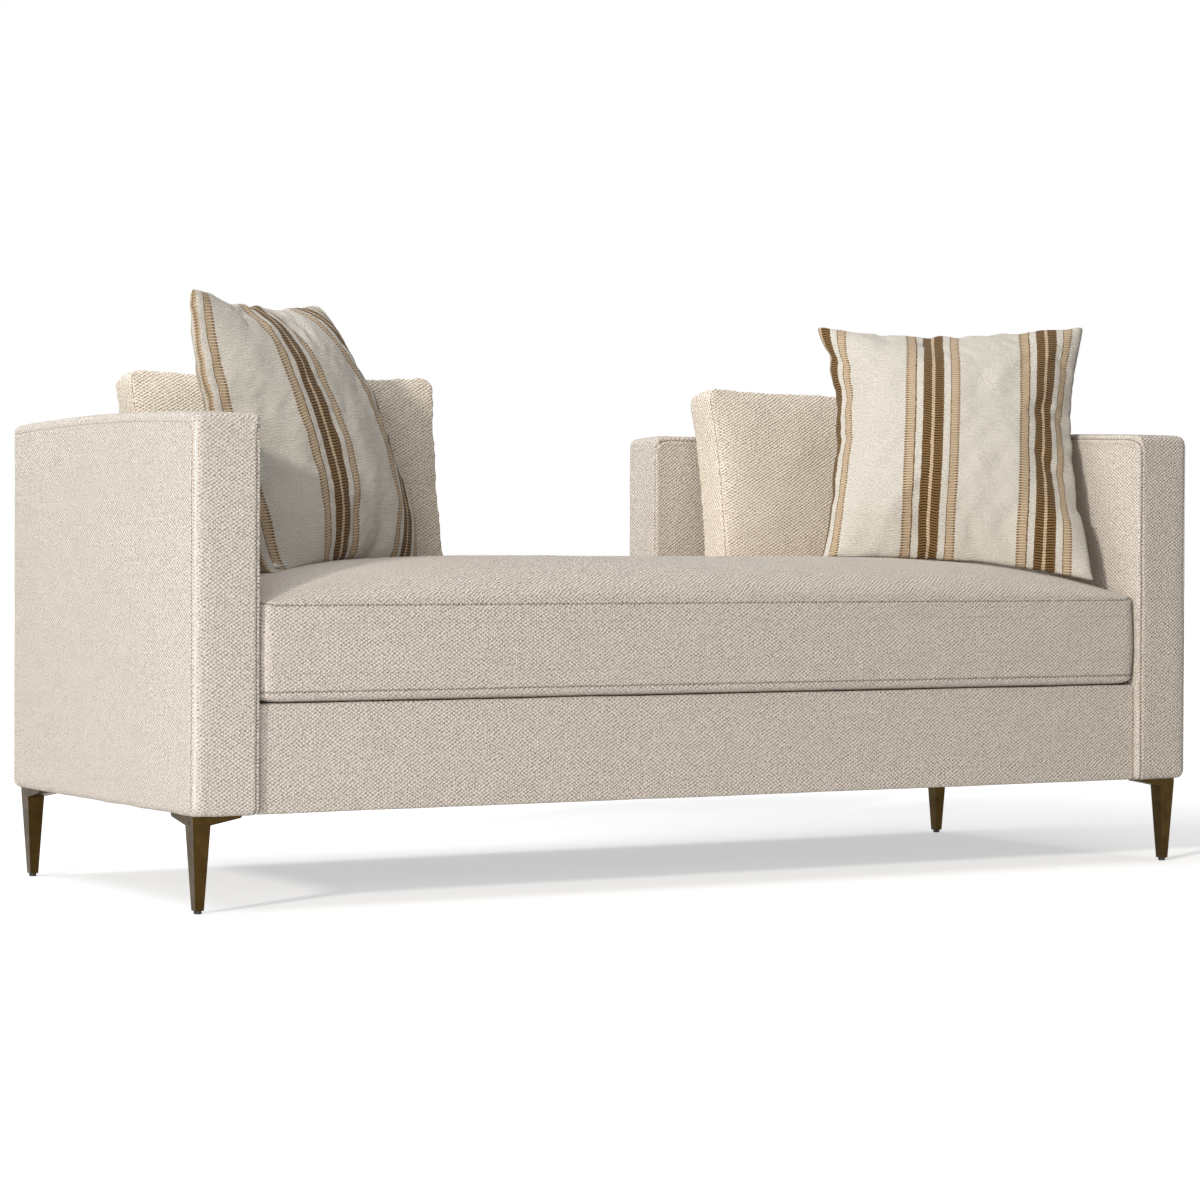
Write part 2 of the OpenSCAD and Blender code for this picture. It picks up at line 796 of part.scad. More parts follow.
// Height of the seat's facets at a place, from the same grid as the solid
seat_xs = stations(seat_half_w, seat_corner, seat_x_cells);
seat_ys = stations(seat_half_d, seat_corner, seat_y_cells);
function cell(list, v, i = 0) = i < len(list) - 2 && v > list[i + 1] ? cell(list, v, i + 1) : i;
function seat_point_z(i, j) =
    seat_seam_z + seat_crown * seat_rise(seat_xs[i], seat_ys[j] + seat_mid_y);
function seat_top_at(x, y) =
    let (v = y - seat_mid_y, i = cell(seat_xs, x), j = cell(seat_ys, v),
         s = clamp01((x - seat_xs[i]) / (seat_xs[i + 1] - seat_xs[i])),
         t = clamp01((v - seat_ys[j]) / (seat_ys[j + 1] - seat_ys[j])),
         a = seat_point_z(i, j), b = seat_point_z(i + 1, j),
         c = seat_point_z(i, j + 1), d = seat_point_z(i + 1, j + 1))
    s + t < 1 ? a + (b - a) * s + (c - a) * t : d + (c - d) * (1 - s) + (b - d) * (1 - t);

// Lift that brings a set of points just clear of the seat cushion's top
touch_steps = 4;
function blend(a, b, t) = a + (b - a) * t;
function between(points) =
    [for (i = [0:len(points) - 2]) for (k = [0:touch_steps]) blend(points[i], points[i + 1], k / touch_steps)];
function lift_of(points) = max([for (p = between(points)) seat_top_at(p.x, p.y) - p.z]) + layer_gap;

// Turns a point by roll in its own plane, then leans it back, then swings it about Z
function turned(p, yaw, lean, roll) =
    let (q = [p.x * cos(roll) - p.z * sin(roll), p.y, p.x * sin(roll) + p.z * cos(roll)],
         w = [q.x, q.y * cos(lean) + q.z * sin(lean), q.z * cos(lean) - q.y * sin(lean)])
    [w.x * cos(yaw) - w.y * sin(yaw), w.x * sin(yaw) + w.y * cos(yaw), w.z];

function placed(points, spot, yaw, lean, roll) = [for (p = points) spot + turned(p, yaw, lean, roll)];

// Back cushions, drawn upright with the front face towards -Y and standing on Z = 0

back_corner = 22;
back_draw = 6;
boxing_bulge = 3;
back_power = 2.4;
back_x_cells = 6;
back_z_cells = 5;

// Face of a back cushion: its crown y over the face's own grid, with sides drawn in
function back_face(w, crown, depth, g) =
    let (half = [w / 2 - g, back_cushion_h / 2 - g], r = back_corner - g)
    [for (x = stations(half.x, r, back_x_cells)) for (z = stations(half.y, r, back_z_cells))
        let (p = corner_round([x, z], half, r), u = p.x / half.x, v = p.y / half.y,
             rise = swell(1 - abs(u), back_power) * swell(1 - abs(v), back_power))
        [p.x - u * back_draw * (1 - v * v), depth + crown * rise, p.y - v * back_draw * (1 - u * u)
         + back_cushion_h / 2]];

function back_ring(face, edge, w) =
    [for (e = edge)
        let (p = face[e], s = [1 + 2 * boxing_bulge / w, 1 + 2 * boxing_bulge / back_cushion_h],
             mid = back_cushion_h / 2)
        [p.x * s.x, 0, (p.z - mid) * s.y + mid]];

module back_form(w, spot, yaw, g) {
    nx = back_x_cells + 5;
    nz = back_z_cells + 5;
    face = back_face(w, -front_crown, -boxing_w / 2 + g, g);
    rear = back_face(w, rear_crown, boxing_w / 2 - g, g);
    ring = back_ring(face, rim(nx, nz), w);
    grid_solid(nx, nz, placed(face, spot, yaw, back_lean, 0), placed(rear, spot, yaw, back_lean, 0),
               [placed(ring, spot, yaw, back_lean, 0)]);
}

// Where a back cushion stands: against the back, resting on the seat
back_spot_room = 3;
function back_spot(w, x, yaw) =
    let (nz = back_z_cells + 5,
         rear = back_face(w, rear_crown, boxing_w / 2, 0), face = back_face(w, -front_crown, -boxing_w / 2, 0),
         ring = back_ring(face, rim(back_x_cells + 5, nz), w),
         wall = [for (p = placed(rear, [0, 0, seat_seam_z], yaw, back_lean, 0)) if (p.z < overall_h) p.y],
         spot = [x, back_inner_y - back_spot_room - max(wall), 0],
         low_rear = [for (i = [0:back_x_cells + 4]) rear[i * nz]],
         low_face = [for (i = [0:back_x_cells + 4]) face[i * nz]],
         low_ring = [for (i = [0:back_x_cells + 4]) ring[i]])
    spot + [0, 0, max([for (row = [low_rear, low_face, low_ring])
                       lift_of(placed(row, spot, yaw, back_lean, 0))])];

left_back_gap = 30;
right_back_gap = 6;
left_back_yaw = -1.5;
right_back_yaw = 0;
left_back_spot = back_spot(left_back_w, -arm_inner_x + left_back_gap + left_back_w / 2, left_back_yaw);
right_back_spot = back_spot(right_back_w, arm_inner_x - right_back_gap - right_back_w / 2, right_back_yaw);

module back_cushion_cover(w, spot, yaw) {
    color("#c8b99f")
        difference() {
            back_form(w, spot, yaw, 0);
            back_form(w, spot, yaw, cover_t);
        }
}

module back_cushion_core(w, spot, yaw) {
    color("#f2ead2") back_form(w, spot, yaw, cover_t + layer_gap);
}

// Knife-edge pillows, drawn upright about their middle with the front face towards -Y

pillow_seam = 2;
pillow_power = 2.2;
pillow_flat = 0.55;
pillow_edge_inset = 4;
pillow_half_shares = [0, 0.3, 0.57, 0.79, 0.93, 1];
pillow_shares = concat([for (i = [5:-1:1]) -pillow_half_shares[i]], pillow_half_shares);

// One face of a pillow, g inside the finished one; side is -1 for the front
function pillow_face(side, g) =
    let (half = pillow_w / 2 - g * pillow_edge_inset, seam = pillow_seam / (g > 0 ? 4 : 2))
    [for (u = pillow_shares) for (v = pillow_shares)
        let (rise = pow((1 - pow(abs(u), pillow_power)) * (1 - pow(abs(v), pillow_power)), pillow_flat))
        [u * (half - pillow_draw * (1 - v * v)), side * (seam + (pillow_t / 2 - seam - g) * rise),
         v * (half - pillow_draw * (1 - u * u))]];

module pillow_form(pose, g) {
    n = len(pillow_shares);
    grid_solid(n, n, placed(pillow_face(-1, g), pose[0], pose[1], pose[2], pose[3]),
               placed(pillow_face(1, g), pose[0], pose[1], pose[2], pose[3]), []);
}

// A pillow's pose: its middle, its swing about Z, its lean and its roll
function pillow_pose(x, y, yaw, lean, roll) =
    let (n = len(pillow_shares), face = pillow_face(-1, 0), rear = pillow_face(1, 0),
         rows = [for (j = [0:3]) [for (i = [0:n - 1]) face[i * n + j]]],
         rear_rows = [for (j = [0:3]) [for (i = [0:n - 1]) rear[i * n + j]]],
         ends = [for (i = [0, n - 1]) [for (j = [0:1]) face[i * n + j]]])
    [[x, y, max([for (row = concat(rows, rear_rows, ends))
                 lift_of(placed(row, [x, y, 0], yaw, lean, roll))])], yaw, lean, roll];

left_pillow_x = 250;
left_pillow_y = 271;
left_pillow_yaw = 37.5;
left_pillow_lean = 21.5;
left_pillow_roll = 1.6;
right_pillow_x = 209;
right_pillow_y = 377;
right_pillow_yaw = -31.5;
right_pillow_lean = 27.5;
right_pillow_roll = -1;
left_pillow_pose = pillow_pose(-arm_inner_x + left_pillow_x, back_inner_y - left_pillow_y,
                               left_pillow_yaw, left_pillow_lean, left_pillow_roll);
right_pillow_pose = pillow_pose(arm_inner_x - right_pillow_x, back_inner_y - right_pillow_y,
                                right_pillow_yaw, right_pillow_lean, right_pillow_roll);

module pillow_cover(pose) {
    color("#e8e0d2")
        difference() {
            pillow_form(pose, 0);
            pillow_form(pose, cover_t);
        }
}

module pillow_insert(pose) {
    color("white") pillow_form(pose, cover_t + layer_gap);
}

// Parts

drilled() front_rail();
drilled() back_rail();
drilled() side_rails();  // left_side_rails
drilled() mirrored() side_rails();  // right_side_rails
cross_braces();
corner_blocks();
drilled() end_posts();  // left_end_posts
drilled() mirrored() end_posts();  // right_end_posts
arm_top_rail();  // left_arm_top_rail
mirrored() arm_top_rail();  // right_arm_top_rail
return_rails();  // left_return_rails
mirrored() return_rails();  // right_return_rails
end_panels();  // left_end_panels
mirrored() end_panels();  // right_end_panels
frame_dowels();
spring_cleats();
seat_springs();
spring_clips();
deck_burlap();
deck_pad();
deck_cloth();
end_padding();  // left_end_padding
mirrored() end_padding();  // right_end_padding
end_cover();  // left_end_cover
mirrored() end_cover();  // right_end_cover
front_rail_padding();
front_rail_cover();
back_rail_padding();
back_rail_cover();
drilled() dust_cover();
at_leg(-1, -1) leg();  // front_left_leg
at_leg(1, -1) leg();  // front_right_leg
at_leg(-1, 1) leg();  // back_left_leg
at_leg(1, 1) leg();  // back_right_leg
leg_glides();
leg_screws();
seat_cushion_cover();
seat_cushion_core();
back_cushion_cover(left_back_w, left_back_spot, left_back_yaw);  // left_back_cushion_cover
back_cushion_core(left_back_w, left_back_spot, left_back_yaw);  // left_back_cushion_core
back_cushion_cover(right_back_w, right_back_spot, right_back_yaw);  // right_back_cushion_cover
back_cushion_core(right_back_w, right_back_spot, right_back_yaw);  // right_back_cushion_core
pillow_cover(left_pillow_pose);  // left_pillow_cover
pillow_insert(left_pillow_pose);  // left_pillow_insert
pillow_cover(right_pillow_pose);  // right_pillow_cover
pillow_insert(right_pillow_pose);  // right_pillow_insert
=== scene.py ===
"""Track-arm settee: upholstery, cushions, pillows and brass legs dressed over the part's solids."""

import json
import math

import bmesh
import bpy
import numpy as np
from mathutils import Matrix, Vector
from mathutils.bvhtree import BVHTree
from mathutils.kdtree import KDTree

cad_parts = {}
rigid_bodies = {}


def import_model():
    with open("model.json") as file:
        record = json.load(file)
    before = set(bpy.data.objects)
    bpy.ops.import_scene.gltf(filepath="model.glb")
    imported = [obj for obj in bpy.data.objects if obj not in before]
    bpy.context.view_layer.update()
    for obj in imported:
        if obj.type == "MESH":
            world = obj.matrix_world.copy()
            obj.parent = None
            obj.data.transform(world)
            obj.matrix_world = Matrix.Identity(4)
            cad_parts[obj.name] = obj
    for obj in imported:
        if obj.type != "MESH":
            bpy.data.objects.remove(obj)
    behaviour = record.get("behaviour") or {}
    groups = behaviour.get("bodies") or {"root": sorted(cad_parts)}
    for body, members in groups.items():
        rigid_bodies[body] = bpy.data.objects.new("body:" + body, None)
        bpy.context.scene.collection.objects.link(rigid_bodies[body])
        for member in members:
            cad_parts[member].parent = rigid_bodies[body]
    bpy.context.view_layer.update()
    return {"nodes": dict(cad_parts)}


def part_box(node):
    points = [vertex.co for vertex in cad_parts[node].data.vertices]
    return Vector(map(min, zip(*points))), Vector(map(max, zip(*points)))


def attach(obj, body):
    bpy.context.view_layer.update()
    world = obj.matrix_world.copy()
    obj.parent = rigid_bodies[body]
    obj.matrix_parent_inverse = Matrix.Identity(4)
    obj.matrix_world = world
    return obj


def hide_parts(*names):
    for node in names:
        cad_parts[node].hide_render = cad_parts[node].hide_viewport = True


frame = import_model()

bl_info = {
    "name": "Track-arm settee",
    "version": (1, 0, 0),
    "blender": (4, 5, 0),
    "location": "View3D > Sidebar > Settee",
    "description": "Dresses the settee's solids with upholstery, loose cushions and brass legs",
    "category": "Object",
}

MM = 0.001
BODY_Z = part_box("front_rail_cover")[0].z
DECK_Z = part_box("front_rail_cover")[1].z
HALF_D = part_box("left_end_cover")[1].y
COVER_DROP = 2.5 * MM  # how far the covers hang below their solids


# Colour and node helpers


def linear(code):
    """An sRGB hex colour as linear red, green and blue."""
    parts = [int(code[i : i + 2], 16) / 255 for i in (1, 3, 5)]
    return tuple(c / 12.92 if c <= 0.04045 else ((c + 0.055) / 1.055) ** 2.4 for c in parts)


def set_inputs(tree, node, inputs):
    """Links or sets a shader node's inputs."""
    for key, value in inputs.items():
        socket = node.inputs[key]
        if isinstance(value, str):
            value = linear(value)
        if isinstance(value, bpy.types.Node):
            value = value.outputs[0]
        if isinstance(value, bpy.types.NodeSocket):
            tree.links.new(value, socket)
        else:
            socket.default_value = (*value[:3], 1) if socket.type == "RGBA" else value


def add_node(tree, kind, inputs=None, **settings):
    node = tree.nodes.new("ShaderNode" + kind)
    for key, value in settings.items():
        setattr(node, key, value)
    set_inputs(tree, node, inputs or {})
    return node


def calc(tree, operation, a, b=0.0, c=0.0):
    return add_node(tree, "Math", {0: a, 1: b, 2: c}, operation=operation)


def mix(tree, share, a, b, blend="MIX"):
    return add_node(tree, "MixRGB", {0: share, 1: a, 2: b}, blend_type=blend)


def spread(tree, value, low, high, start, end, **settings):
    """Takes low to high onto start to end."""
    inputs = {"Value": value, "From Min": low, "From Max": high, "To Min": start, "To Max": end}
    return add_node(tree, "MapRange", inputs, **settings)


def noise(tree, place, scale, detail, output="Fac", **inputs):
    inputs = {"Vector": place, "Scale": scale, "Detail": detail, **inputs}
    return add_node(tree, "TexNoise", inputs).outputs[output]


def attribute(tree, name, output="Fac"):
    return add_node(tree, "Attribute", attribute_name=name).outputs[output]


def ramp(tree, value, stops, interpolation="LINEAR"):
    """A colour ramp through (place, colour) stops."""
    node = add_node(tree, "ValToRGB", {0: value})
    node.color_ramp.interpolation = interpolation
    elements = node.color_ramp.elements
    while len(elements) < len(stops):
        elements.new(0.5)
    for element, (place, colour) in zip(elements, stops):
        element.position = place
        element.color = (*(linear(colour) if isinstance(colour, str) else colour), 1)
    return node


def seen_or_mirrored(tree):
    """1 for what the camera and shiny surfaces see, 0 for light that lands on other things."""
    path = add_node(tree, "LightPath")
    return calc(tree, "MAXIMUM", path.outputs["Is Camera Ray"], path.outputs["Is Glossy Ray"])


def new_material(name):
    material = bpy.data.materials.new(name)
    material.use_nodes = True
    tree = material.node_tree
    return material, tree, tree.nodes["Principled BSDF"]


def set_surface(tree, shader, colour, height, depth, inputs, strength=1.0):
    """Gives a shader its colour, a relief of this depth from a height, and its other inputs."""
    bump = add_node(tree, "Bump", {"Strength": strength, "Distance": depth, "Height": height})
    set_inputs(tree, shader, {"Base Color": colour, "Normal": bump, **inputs})


# Settings that a user would change


def colour_setting(name, description, code):
    return bpy.props.FloatVectorProperty(
        name=name, description=description, subtype="COLOR", size=3, min=0, max=1, default=linear(code)
    )


def size_setting(name, description, default):
    return bpy.props.FloatProperty(
        name=name, description=description, unit="LENGTH", min=0, default=default, precision=4
    )


def light_setting(name, description, default, unit="POWER"):
    return bpy.props.FloatProperty(name=name, description=description, unit=unit, min=0, default=default)


class SetteeStage(bpy.types.PropertyGroup):
    backdrop: colour_setting("Backdrop", "Colour of the floor and the surroundings", "#ffffff")
    key: light_setting("Key light", "Strength of the low key light", 1.8, "NONE")
    front: light_setting("Front light", "Power of the soft light at the left front", 43)
    top: light_setting("Top light", "Power of the soft light overhead", 40)
    rim: light_setting("Rim light", "Power of the soft light high on the left", 22)
    fill: light_setting("Surroundings", "Strength of the even light from all round", 0.06, "NONE")


class SetteeCloth(bpy.types.PropertyGroup):
    knot: colour_setting("Knots", "Colour of the main cloth's raised knots", "#e7ddd3")
    # the gap colour is partly the cloth's own tone and partly painted shade in the hollows between knots
    gap: colour_setting("Gaps", "Colour between the main cloth's knots", "#a29687")
    twill: colour_setting("Twill", "Colour of the back cushions' twill", "#fbf1e4")
    field: colour_setting("Pillow field", "Colour of the pillows between their stripes", "#e5e0d8")
    brown: colour_setting("Brown stripe", "Colour of the pillows' dark stripes", "#38240f")
    tan: colour_setting("Tan stripe", "Colour of the pillows' light stripes", "#decab0")
    knot_pitch: size_setting("Knot pitch", "Spacing of the main cloth's slanting ridges", 4.8 * MM)
    twill_pitch: size_setting("Twill pitch", "Spacing of the twill's slanting ridges", 4.8 * MM)
    seam_depth: size_setting("Seam depth", "How far a seam draws the cloth in", 1.8 * MM)


class SetteeForm(bpy.types.PropertyGroup):
    edge_round: size_setting("Edge rounding", "Rounding of the arms' upright edges", 15 * MM)
    side_swell: size_setting("Side swell", "How far the arms' outer sides stand proud of flat", 4 * MM)
    seat_crown: size_setting("Seat crown", "Rise of the seat cushion over its top seam", 74 * MM)
    pillow_side: size_setting("Pillow side", "Distance between a pillow's corners", 460 * MM)
    pillow_fill: size_setting("Pillow thickness", "Thickness in the middle of a pillow", 164 * MM)
    leg_fillet: size_setting("Leg fillet", "Size of the inner corners under the legs' brackets", 7 * MM)
    leg_edge: size_setting("Leg edge", "Width of the softened edges of the brass legs", 0.9 * MM)


# Mesh helpers

EDGE_STEPS = [v * MM for v in (0, 1.5, 3, 4.5, 6.5, 9, 12.5, 17, 24)]


def run_places(length, pitch):
    """Places from 0 to length: close together at both ends, where a seam lies, then even."""
    inner = length - 2 * EDGE_STEPS[-1]
    count = max(2, round(inner / pitch))
    middle = [EDGE_STEPS[-1] + inner * i / count for i in range(1, count)]
    return np.array(EDGE_STEPS + middle + [length - v for v in reversed(EDGE_STEPS)])


def add_object(name, data):
    obj = bpy.data.objects.new(name, data)
    bpy.context.scene.collection.objects.link(obj)
    return obj


def shade(mesh, smooth=True):
    mesh.polygons.foreach_set("use_smooth", [smooth] * len(mesh.polygons))


def new_object(name, points, faces):
    mesh = bpy.data.meshes.new(name)
    mesh.from_pydata([tuple(p) for p in points], [], faces)
    shade(mesh)
    mesh.validate()
    return add_object(name, mesh)


def read(items, key, width=3, kind=float):
    """A property of a mesh's points, faces or corners, as an array."""
    values = np.empty(len(items) * width, kind)
    items.foreach_get(key, values)
    return values.reshape(-1, width) if width > 1 else values


def store(obj, name, values, domain="POINT"):
    """Stores a number or a vector at each point or face corner."""
    values = np.asarray(values, np.float32)
    kind, key = ("FLOAT_VECTOR", "vector") if values.ndim == 2 else ("FLOAT", "value")
    obj.data.attributes.new(name, kind, domain).data.foreach_set(key, values.ravel())


def points_of(obj):
    return read(obj.data.vertices, "co")


def normals_of(obj):
    return read(obj.data.vertex_normals, "vector")


def set_points(obj, points):
    obj.data.vertices.foreach_set("co", np.asarray(points, float).ravel())
    obj.data.update()


def push_out(obj, amounts):
    """Moves each point along its normal."""
    set_points(obj, points_of(obj) + normals_of(obj) * amounts[:, None])


def runs_along(lines):
    """How far along its line each point is, for one line of points or a grid of them."""
    steps = np.linalg.norm(np.diff(lines, axis=-2), axis=-1)
    starts = np.zeros((*steps.shape[:-1], 1))
    return np.concatenate([starts, np.cumsum(steps, axis=-1)], axis=-1)


def rim(nx, ny):
    """Indices round the edge of an nx by ny grid, anticlockwise."""
    return (
        [i * ny for i in range(nx - 1)]
        + [(nx - 1) * ny + j for j in range(ny - 1)]
        + [i * ny + ny - 1 for i in range(nx - 1, 0, -1)]
        + list(range(ny - 1, 0, -1))
    )


def grid_quads(nx, ny, base, flip):
    quads = []
    for i in range(nx - 1):
        for j in range(ny - 1):
            a = base + i * ny + j
            quad = (a, a + ny, a + ny + 1, a + 1)
            quads.append(quad[::-1] if flip else quad)
    return quads


def band_quads(upper, lower):
    n = len(upper)
    return [(upper[i], lower[i], lower[(i + 1) % n], upper[(i + 1) % n]) for i in range(n)]


def grid_form(name, nx, ny, top, bottom, rings):
    """Closed mesh of a top grid, rings of points down its sides and a bottom grid."""
    edge = rim(nx, ny)
    n = nx * ny
    rows = [edge, *(ring_ids(nx, ny, k) for k in range(len(rings))), [n + e for e in edge]]
    faces = grid_quads(nx, ny, 0, False) + grid_quads(nx, ny, n, True)
    for upper, lower in zip(rows, rows[1:]):
        faces += band_quads(upper, lower)
    return new_object(name, np.vstack([top, bottom, *rings]), faces)


def ring_ids(nx, ny, k):
    """Indices of a grid form's ring of points."""
    count = len(rim(nx, ny))
    start = 2 * nx * ny + k * count
    return list(range(start, start + count))


def corner_round(x, y, half_x, half_y, r):
    """Moves the points of a square corner onto its rounding."""
    dx = (np.abs(x) - half_x + r) / r
    dy = (np.abs(y) - half_y + r) / r
    both = (dx > 0) & (dy > 0)
    rx = half_x - r + r * dx * np.sqrt(np.maximum(1 - dy * dy / 2, 0))
    ry = half_y - r + r * dy * np.sqrt(np.maximum(1 - dx * dx / 2, 0))
    return np.where(both, np.sign(x) * rx, x), np.where(both, np.sign(y) * ry, y)


def swell(t, power):
    return np.sqrt(np.maximum(1 - (1 - np.clip(t, 0, 1)) ** power, 0))


def bell(distance, width):
    return np.exp(-((distance / width) ** 2))


def ease(t):
    t = np.clip(t, 0, 1)
    return t * t * (3 - 2 * t)


def ripple(points, scale, seed):
    """Smooth waves over space, about -1 to 1, the same at each run."""
    rng = np.random.default_rng(seed)
    total = np.zeros(len(points))
    for octave in range(4):
        for _ in range(5):
            direction = rng.normal(size=3)
            direction /= np.linalg.norm(direction)
            wave = 2 * math.pi / (scale * rng.uniform(0.7, 1.4) / 1.7**octave)
            total += np.sin(points @ direction * wave + rng.uniform(0, 2 * math.pi)) / 1.6**octave
    return total / 5


UNSEWN = 60.0  # the distance from a seam, in mm, that stands for none near
SEAM_REACH = 26 * MM  # how far from a seam its distance is measured
SEAM_STEP = 1.2 * MM  # between the points that a seam is measured from
PIECE_GAP = 7.0  # metres between the places of cloth that faces different ways


def lay_cloth(obj, runs=()):
    """Stores each face corner's place on its piece of cloth, in metres, by the side that it faces.

    runs gives the first points' places along Y as lengths over a crown, which their own faces use."""
    mesh = obj.data
    side = np.abs(read(mesh.polygon_normals, "vector")).argmax(1)
    totals = read(mesh.polygons, "loop_total", 1, int)
    corners = read(mesh.loops, "vertex_index", 1, int)
    side = np.repeat(side, totals)
    p = points_of(obj)[corners]
    u = np.where(side == 0, p[:, 1], p[:, 0])
    v = np.where(side == 2, p[:, 1], p[:, 2])
    if len(runs):
        starts = np.concatenate([[0], np.cumsum(totals)[:-1]])
        crowned = np.repeat(np.maximum.reduceat(corners, starts) < len(runs), totals)
        u[crowned], v[crowned] = p[crowned, 0], runs[corners[crowned]]
    store(obj, "cloth", np.column_stack([u, v, side * PIECE_GAP]), "CORNER")
    if "seam" not in mesh.attributes:
        store(obj, "seam", np.full(len(mesh.vertices), UNSEWN))


def sew(obj, seams, depth, rolls, roll_at=4.5, pucker=0.0):
    """Draws the mesh in along its seams and raises a roll of the given height beside each.

    A seam is a list of (point, across): across points into the panel, at right angles to the seam, and
    is shorter than 1 where the seam is to show less.
    Stores the distance from the seam and the run along it, in millimetres, for the stitches and the painted
    shade in the seam."""
    groove_width, roll_width, puff_at, puff_width, pucker_width = 1.5, 2.6, 6, 4, 12
    spots = np.array([s[0] for seam in seams for s in seam])
    across = np.array([s[1] for seam in seams for s in seam])
    heights = np.array([h for seam, h in zip(seams, rolls) for _ in seam])
    run = np.concatenate([runs_along(np.array([s[0] for s in seam])) for seam in seams])
    tree = KDTree(len(spots))
    for i, spot in enumerate(spots):
        tree.insert(spot, i)
    tree.balance()
    points = points_of(obj)
    distance = np.full(len(points), UNSEWN)
    strength = np.minimum(np.linalg.norm(across, axis=1), 1)
    along, roll, firm = np.zeros(len(points)), np.zeros(len(points)), np.ones(len(points))
    for i, p in enumerate(points):
        _, k, gap = tree.find(p)
        if gap < SEAM_REACH:
            distance[i] = (p - spots[k]) @ across[k] / strength[k] / MM
            along[i] = run[k] / MM
            roll[i] = heights[k]
            firm[i] = strength[k]
    near = np.abs(distance)
    groove = bell(near, groove_width) * depth * firm
    fold = bell(distance + roll_at, roll_width) * roll
    puff = bell(near - puff_at, puff_width) * depth * 0.25 * firm
    draw = pucker * bell(near, pucker_width) * np.sin(along * 0.23 + 2 * np.sin(along * 0.031))
    push_out(obj, puff + fold + draw - groove)
    # a seam that is to show less has its stitches and its painted shade further off
    store(obj, "seam", distance + np.sign(distance) * (1 - firm) * 1.6)
    store(obj, "run", along)


def rim_seam(points, edge, panel, band):
    """Seam along the row of points with these indices; panel and band are the rows on either side of it."""
    q = points[edge]
    a = points[panel] - q
    b = points[band] - q
    a /= np.linalg.norm(a, axis=1)[:, None]
    b /= np.linalg.norm(b, axis=1)[:, None]
    across = (a - b) / (1 - (a * b).sum(1))[:, None]
    line = []
    for i in range(len(edge)):
        j = (i + 1) % len(edge)
        steps = max(1, int(np.linalg.norm(q[j] - q[i]) / SEAM_STEP))
        for k in range(steps):
            t = k / steps
            line.append((q[i] * (1 - t) + q[j] * t, across[i] * (1 - t) + across[j] * t))
    return line


def faces_tree(obj, place):
    """The object's faces, moved by a matrix, to look up the nearest or the one that a ray meets."""
    faces = [p.vertices for p in obj.data.polygons]
    return BVHTree.FromPolygons([place @ v.co for v in obj.data.vertices], faces)


def drape(obj, under, reach, share):
    """Lets the part of obj that is less than reach above a piece sag down to lie on it."""
    ray_start, lowest = 1.5, 0.4
    tree = faces_tree(under, under.matrix_world)
    place, back = np.array(obj.matrix_world), np.array(obj.matrix_world.inverted())
    points = points_of(obj) @ place[:3, :3].T + place[:3, 3]
    for i, p in enumerate(points):
        spot, _, _, _ = tree.ray_cast(Vector((p[0], p[1], ray_start)), Vector((0, 0, -1)))
        if spot is not None and spot.z > lowest:
            x = (p[2] - spot.z) / reach
            if 0 < x < 1:
                points[i, 2] -= share[i] * (p[2] - spot.z - reach * (x - math.sin(math.pi * x) / math.pi))
    set_points(obj, points @ back[:3, :3].T + back[:3, 3])


def settle(obj, others, gap=0.4 * MM, reach=45 * MM):
    """Flattens obj where it presses on the others, so that it rests on them."""
    points = points_of(obj)
    for other in others:
        tree = faces_tree(other, obj.matrix_world.inverted() @ other.matrix_world)
        for i, p in enumerate(points):
            spot, normal, _, _ = tree.find_nearest(p, reach)
            if spot is not None:
                depth = (Vector(p) - spot).dot(normal)
                if depth < gap:
                    points[i] = spot + normal * gap
    set_points(obj, points)


def bake(obj):
    """Moves the object's place into its mesh, so that its box is true."""
    obj.data.transform(obj.matrix_world)
    obj.matrix_world = Matrix()


def fill_cover(cover, name, material, inset, body, node):
    """Makes what fills a cover: its own form, set in all round."""
    obj = add_object(name, cover.data.copy())
    obj.data.materials.clear()
    p = points_of(obj)
    middle, size = (p.max(0) + p.min(0)) / 2, p.max(0) - p.min(0)
    set_points(obj, middle + (p - middle) * (1 - 2 * inset / size))
    obj.matrix_world = cover.matrix_world
    bake(obj)
    fewer = obj.modifiers.new("Fewer faces", "DECIMATE")
    fewer.ratio = 0.15
    finish_piece(obj, material, body, node)


def finish_piece(obj, material, body, node):
    obj.data.materials.append(material)
    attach(obj, body)
    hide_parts(node)


# Cloth and metal


def sewn(tree, colour, thread):
    """Darkens the cloth into its seams as painted shade, where the groove lies in shade, and lays a thread
    of stitches beside them in the same dark colour.
    """
    stitch_pitch, yarn_swing = 5.2, 4.0
    yarn = noise(tree, attribute(tree, "cloth", "Vector"), 170.0, 2.0)
    seam = calc(tree, "SUBTRACT", attribute(tree, "seam"), yarn_swing / 2)
    near = calc(tree, "ABSOLUTE", calc(tree, "MULTIPLY_ADD", yarn, yarn_swing, seam))
    # painted shade and stitches: the thread colour's share fades out within 1.9 mm of the seam's groove
    fold = spread(tree, near, 0.3, 1.9, 0.9, 0.0)
    stitch = calc(tree, "FRACT", calc(tree, "MULTIPLY", attribute(tree, "run"), 1 / stitch_pitch))
    # full thread on each stitch; between stitches a weaker share stays on as painted shade in the groove
    dash = spread(tree, stitch, 0.55, 0.7, 1.0, 0.3)
    share = calc(tree, "MULTIPLY", calc(tree, "MULTIPLY", fold, dash), 0.85)
    return mix(tree, share, colour, thread)


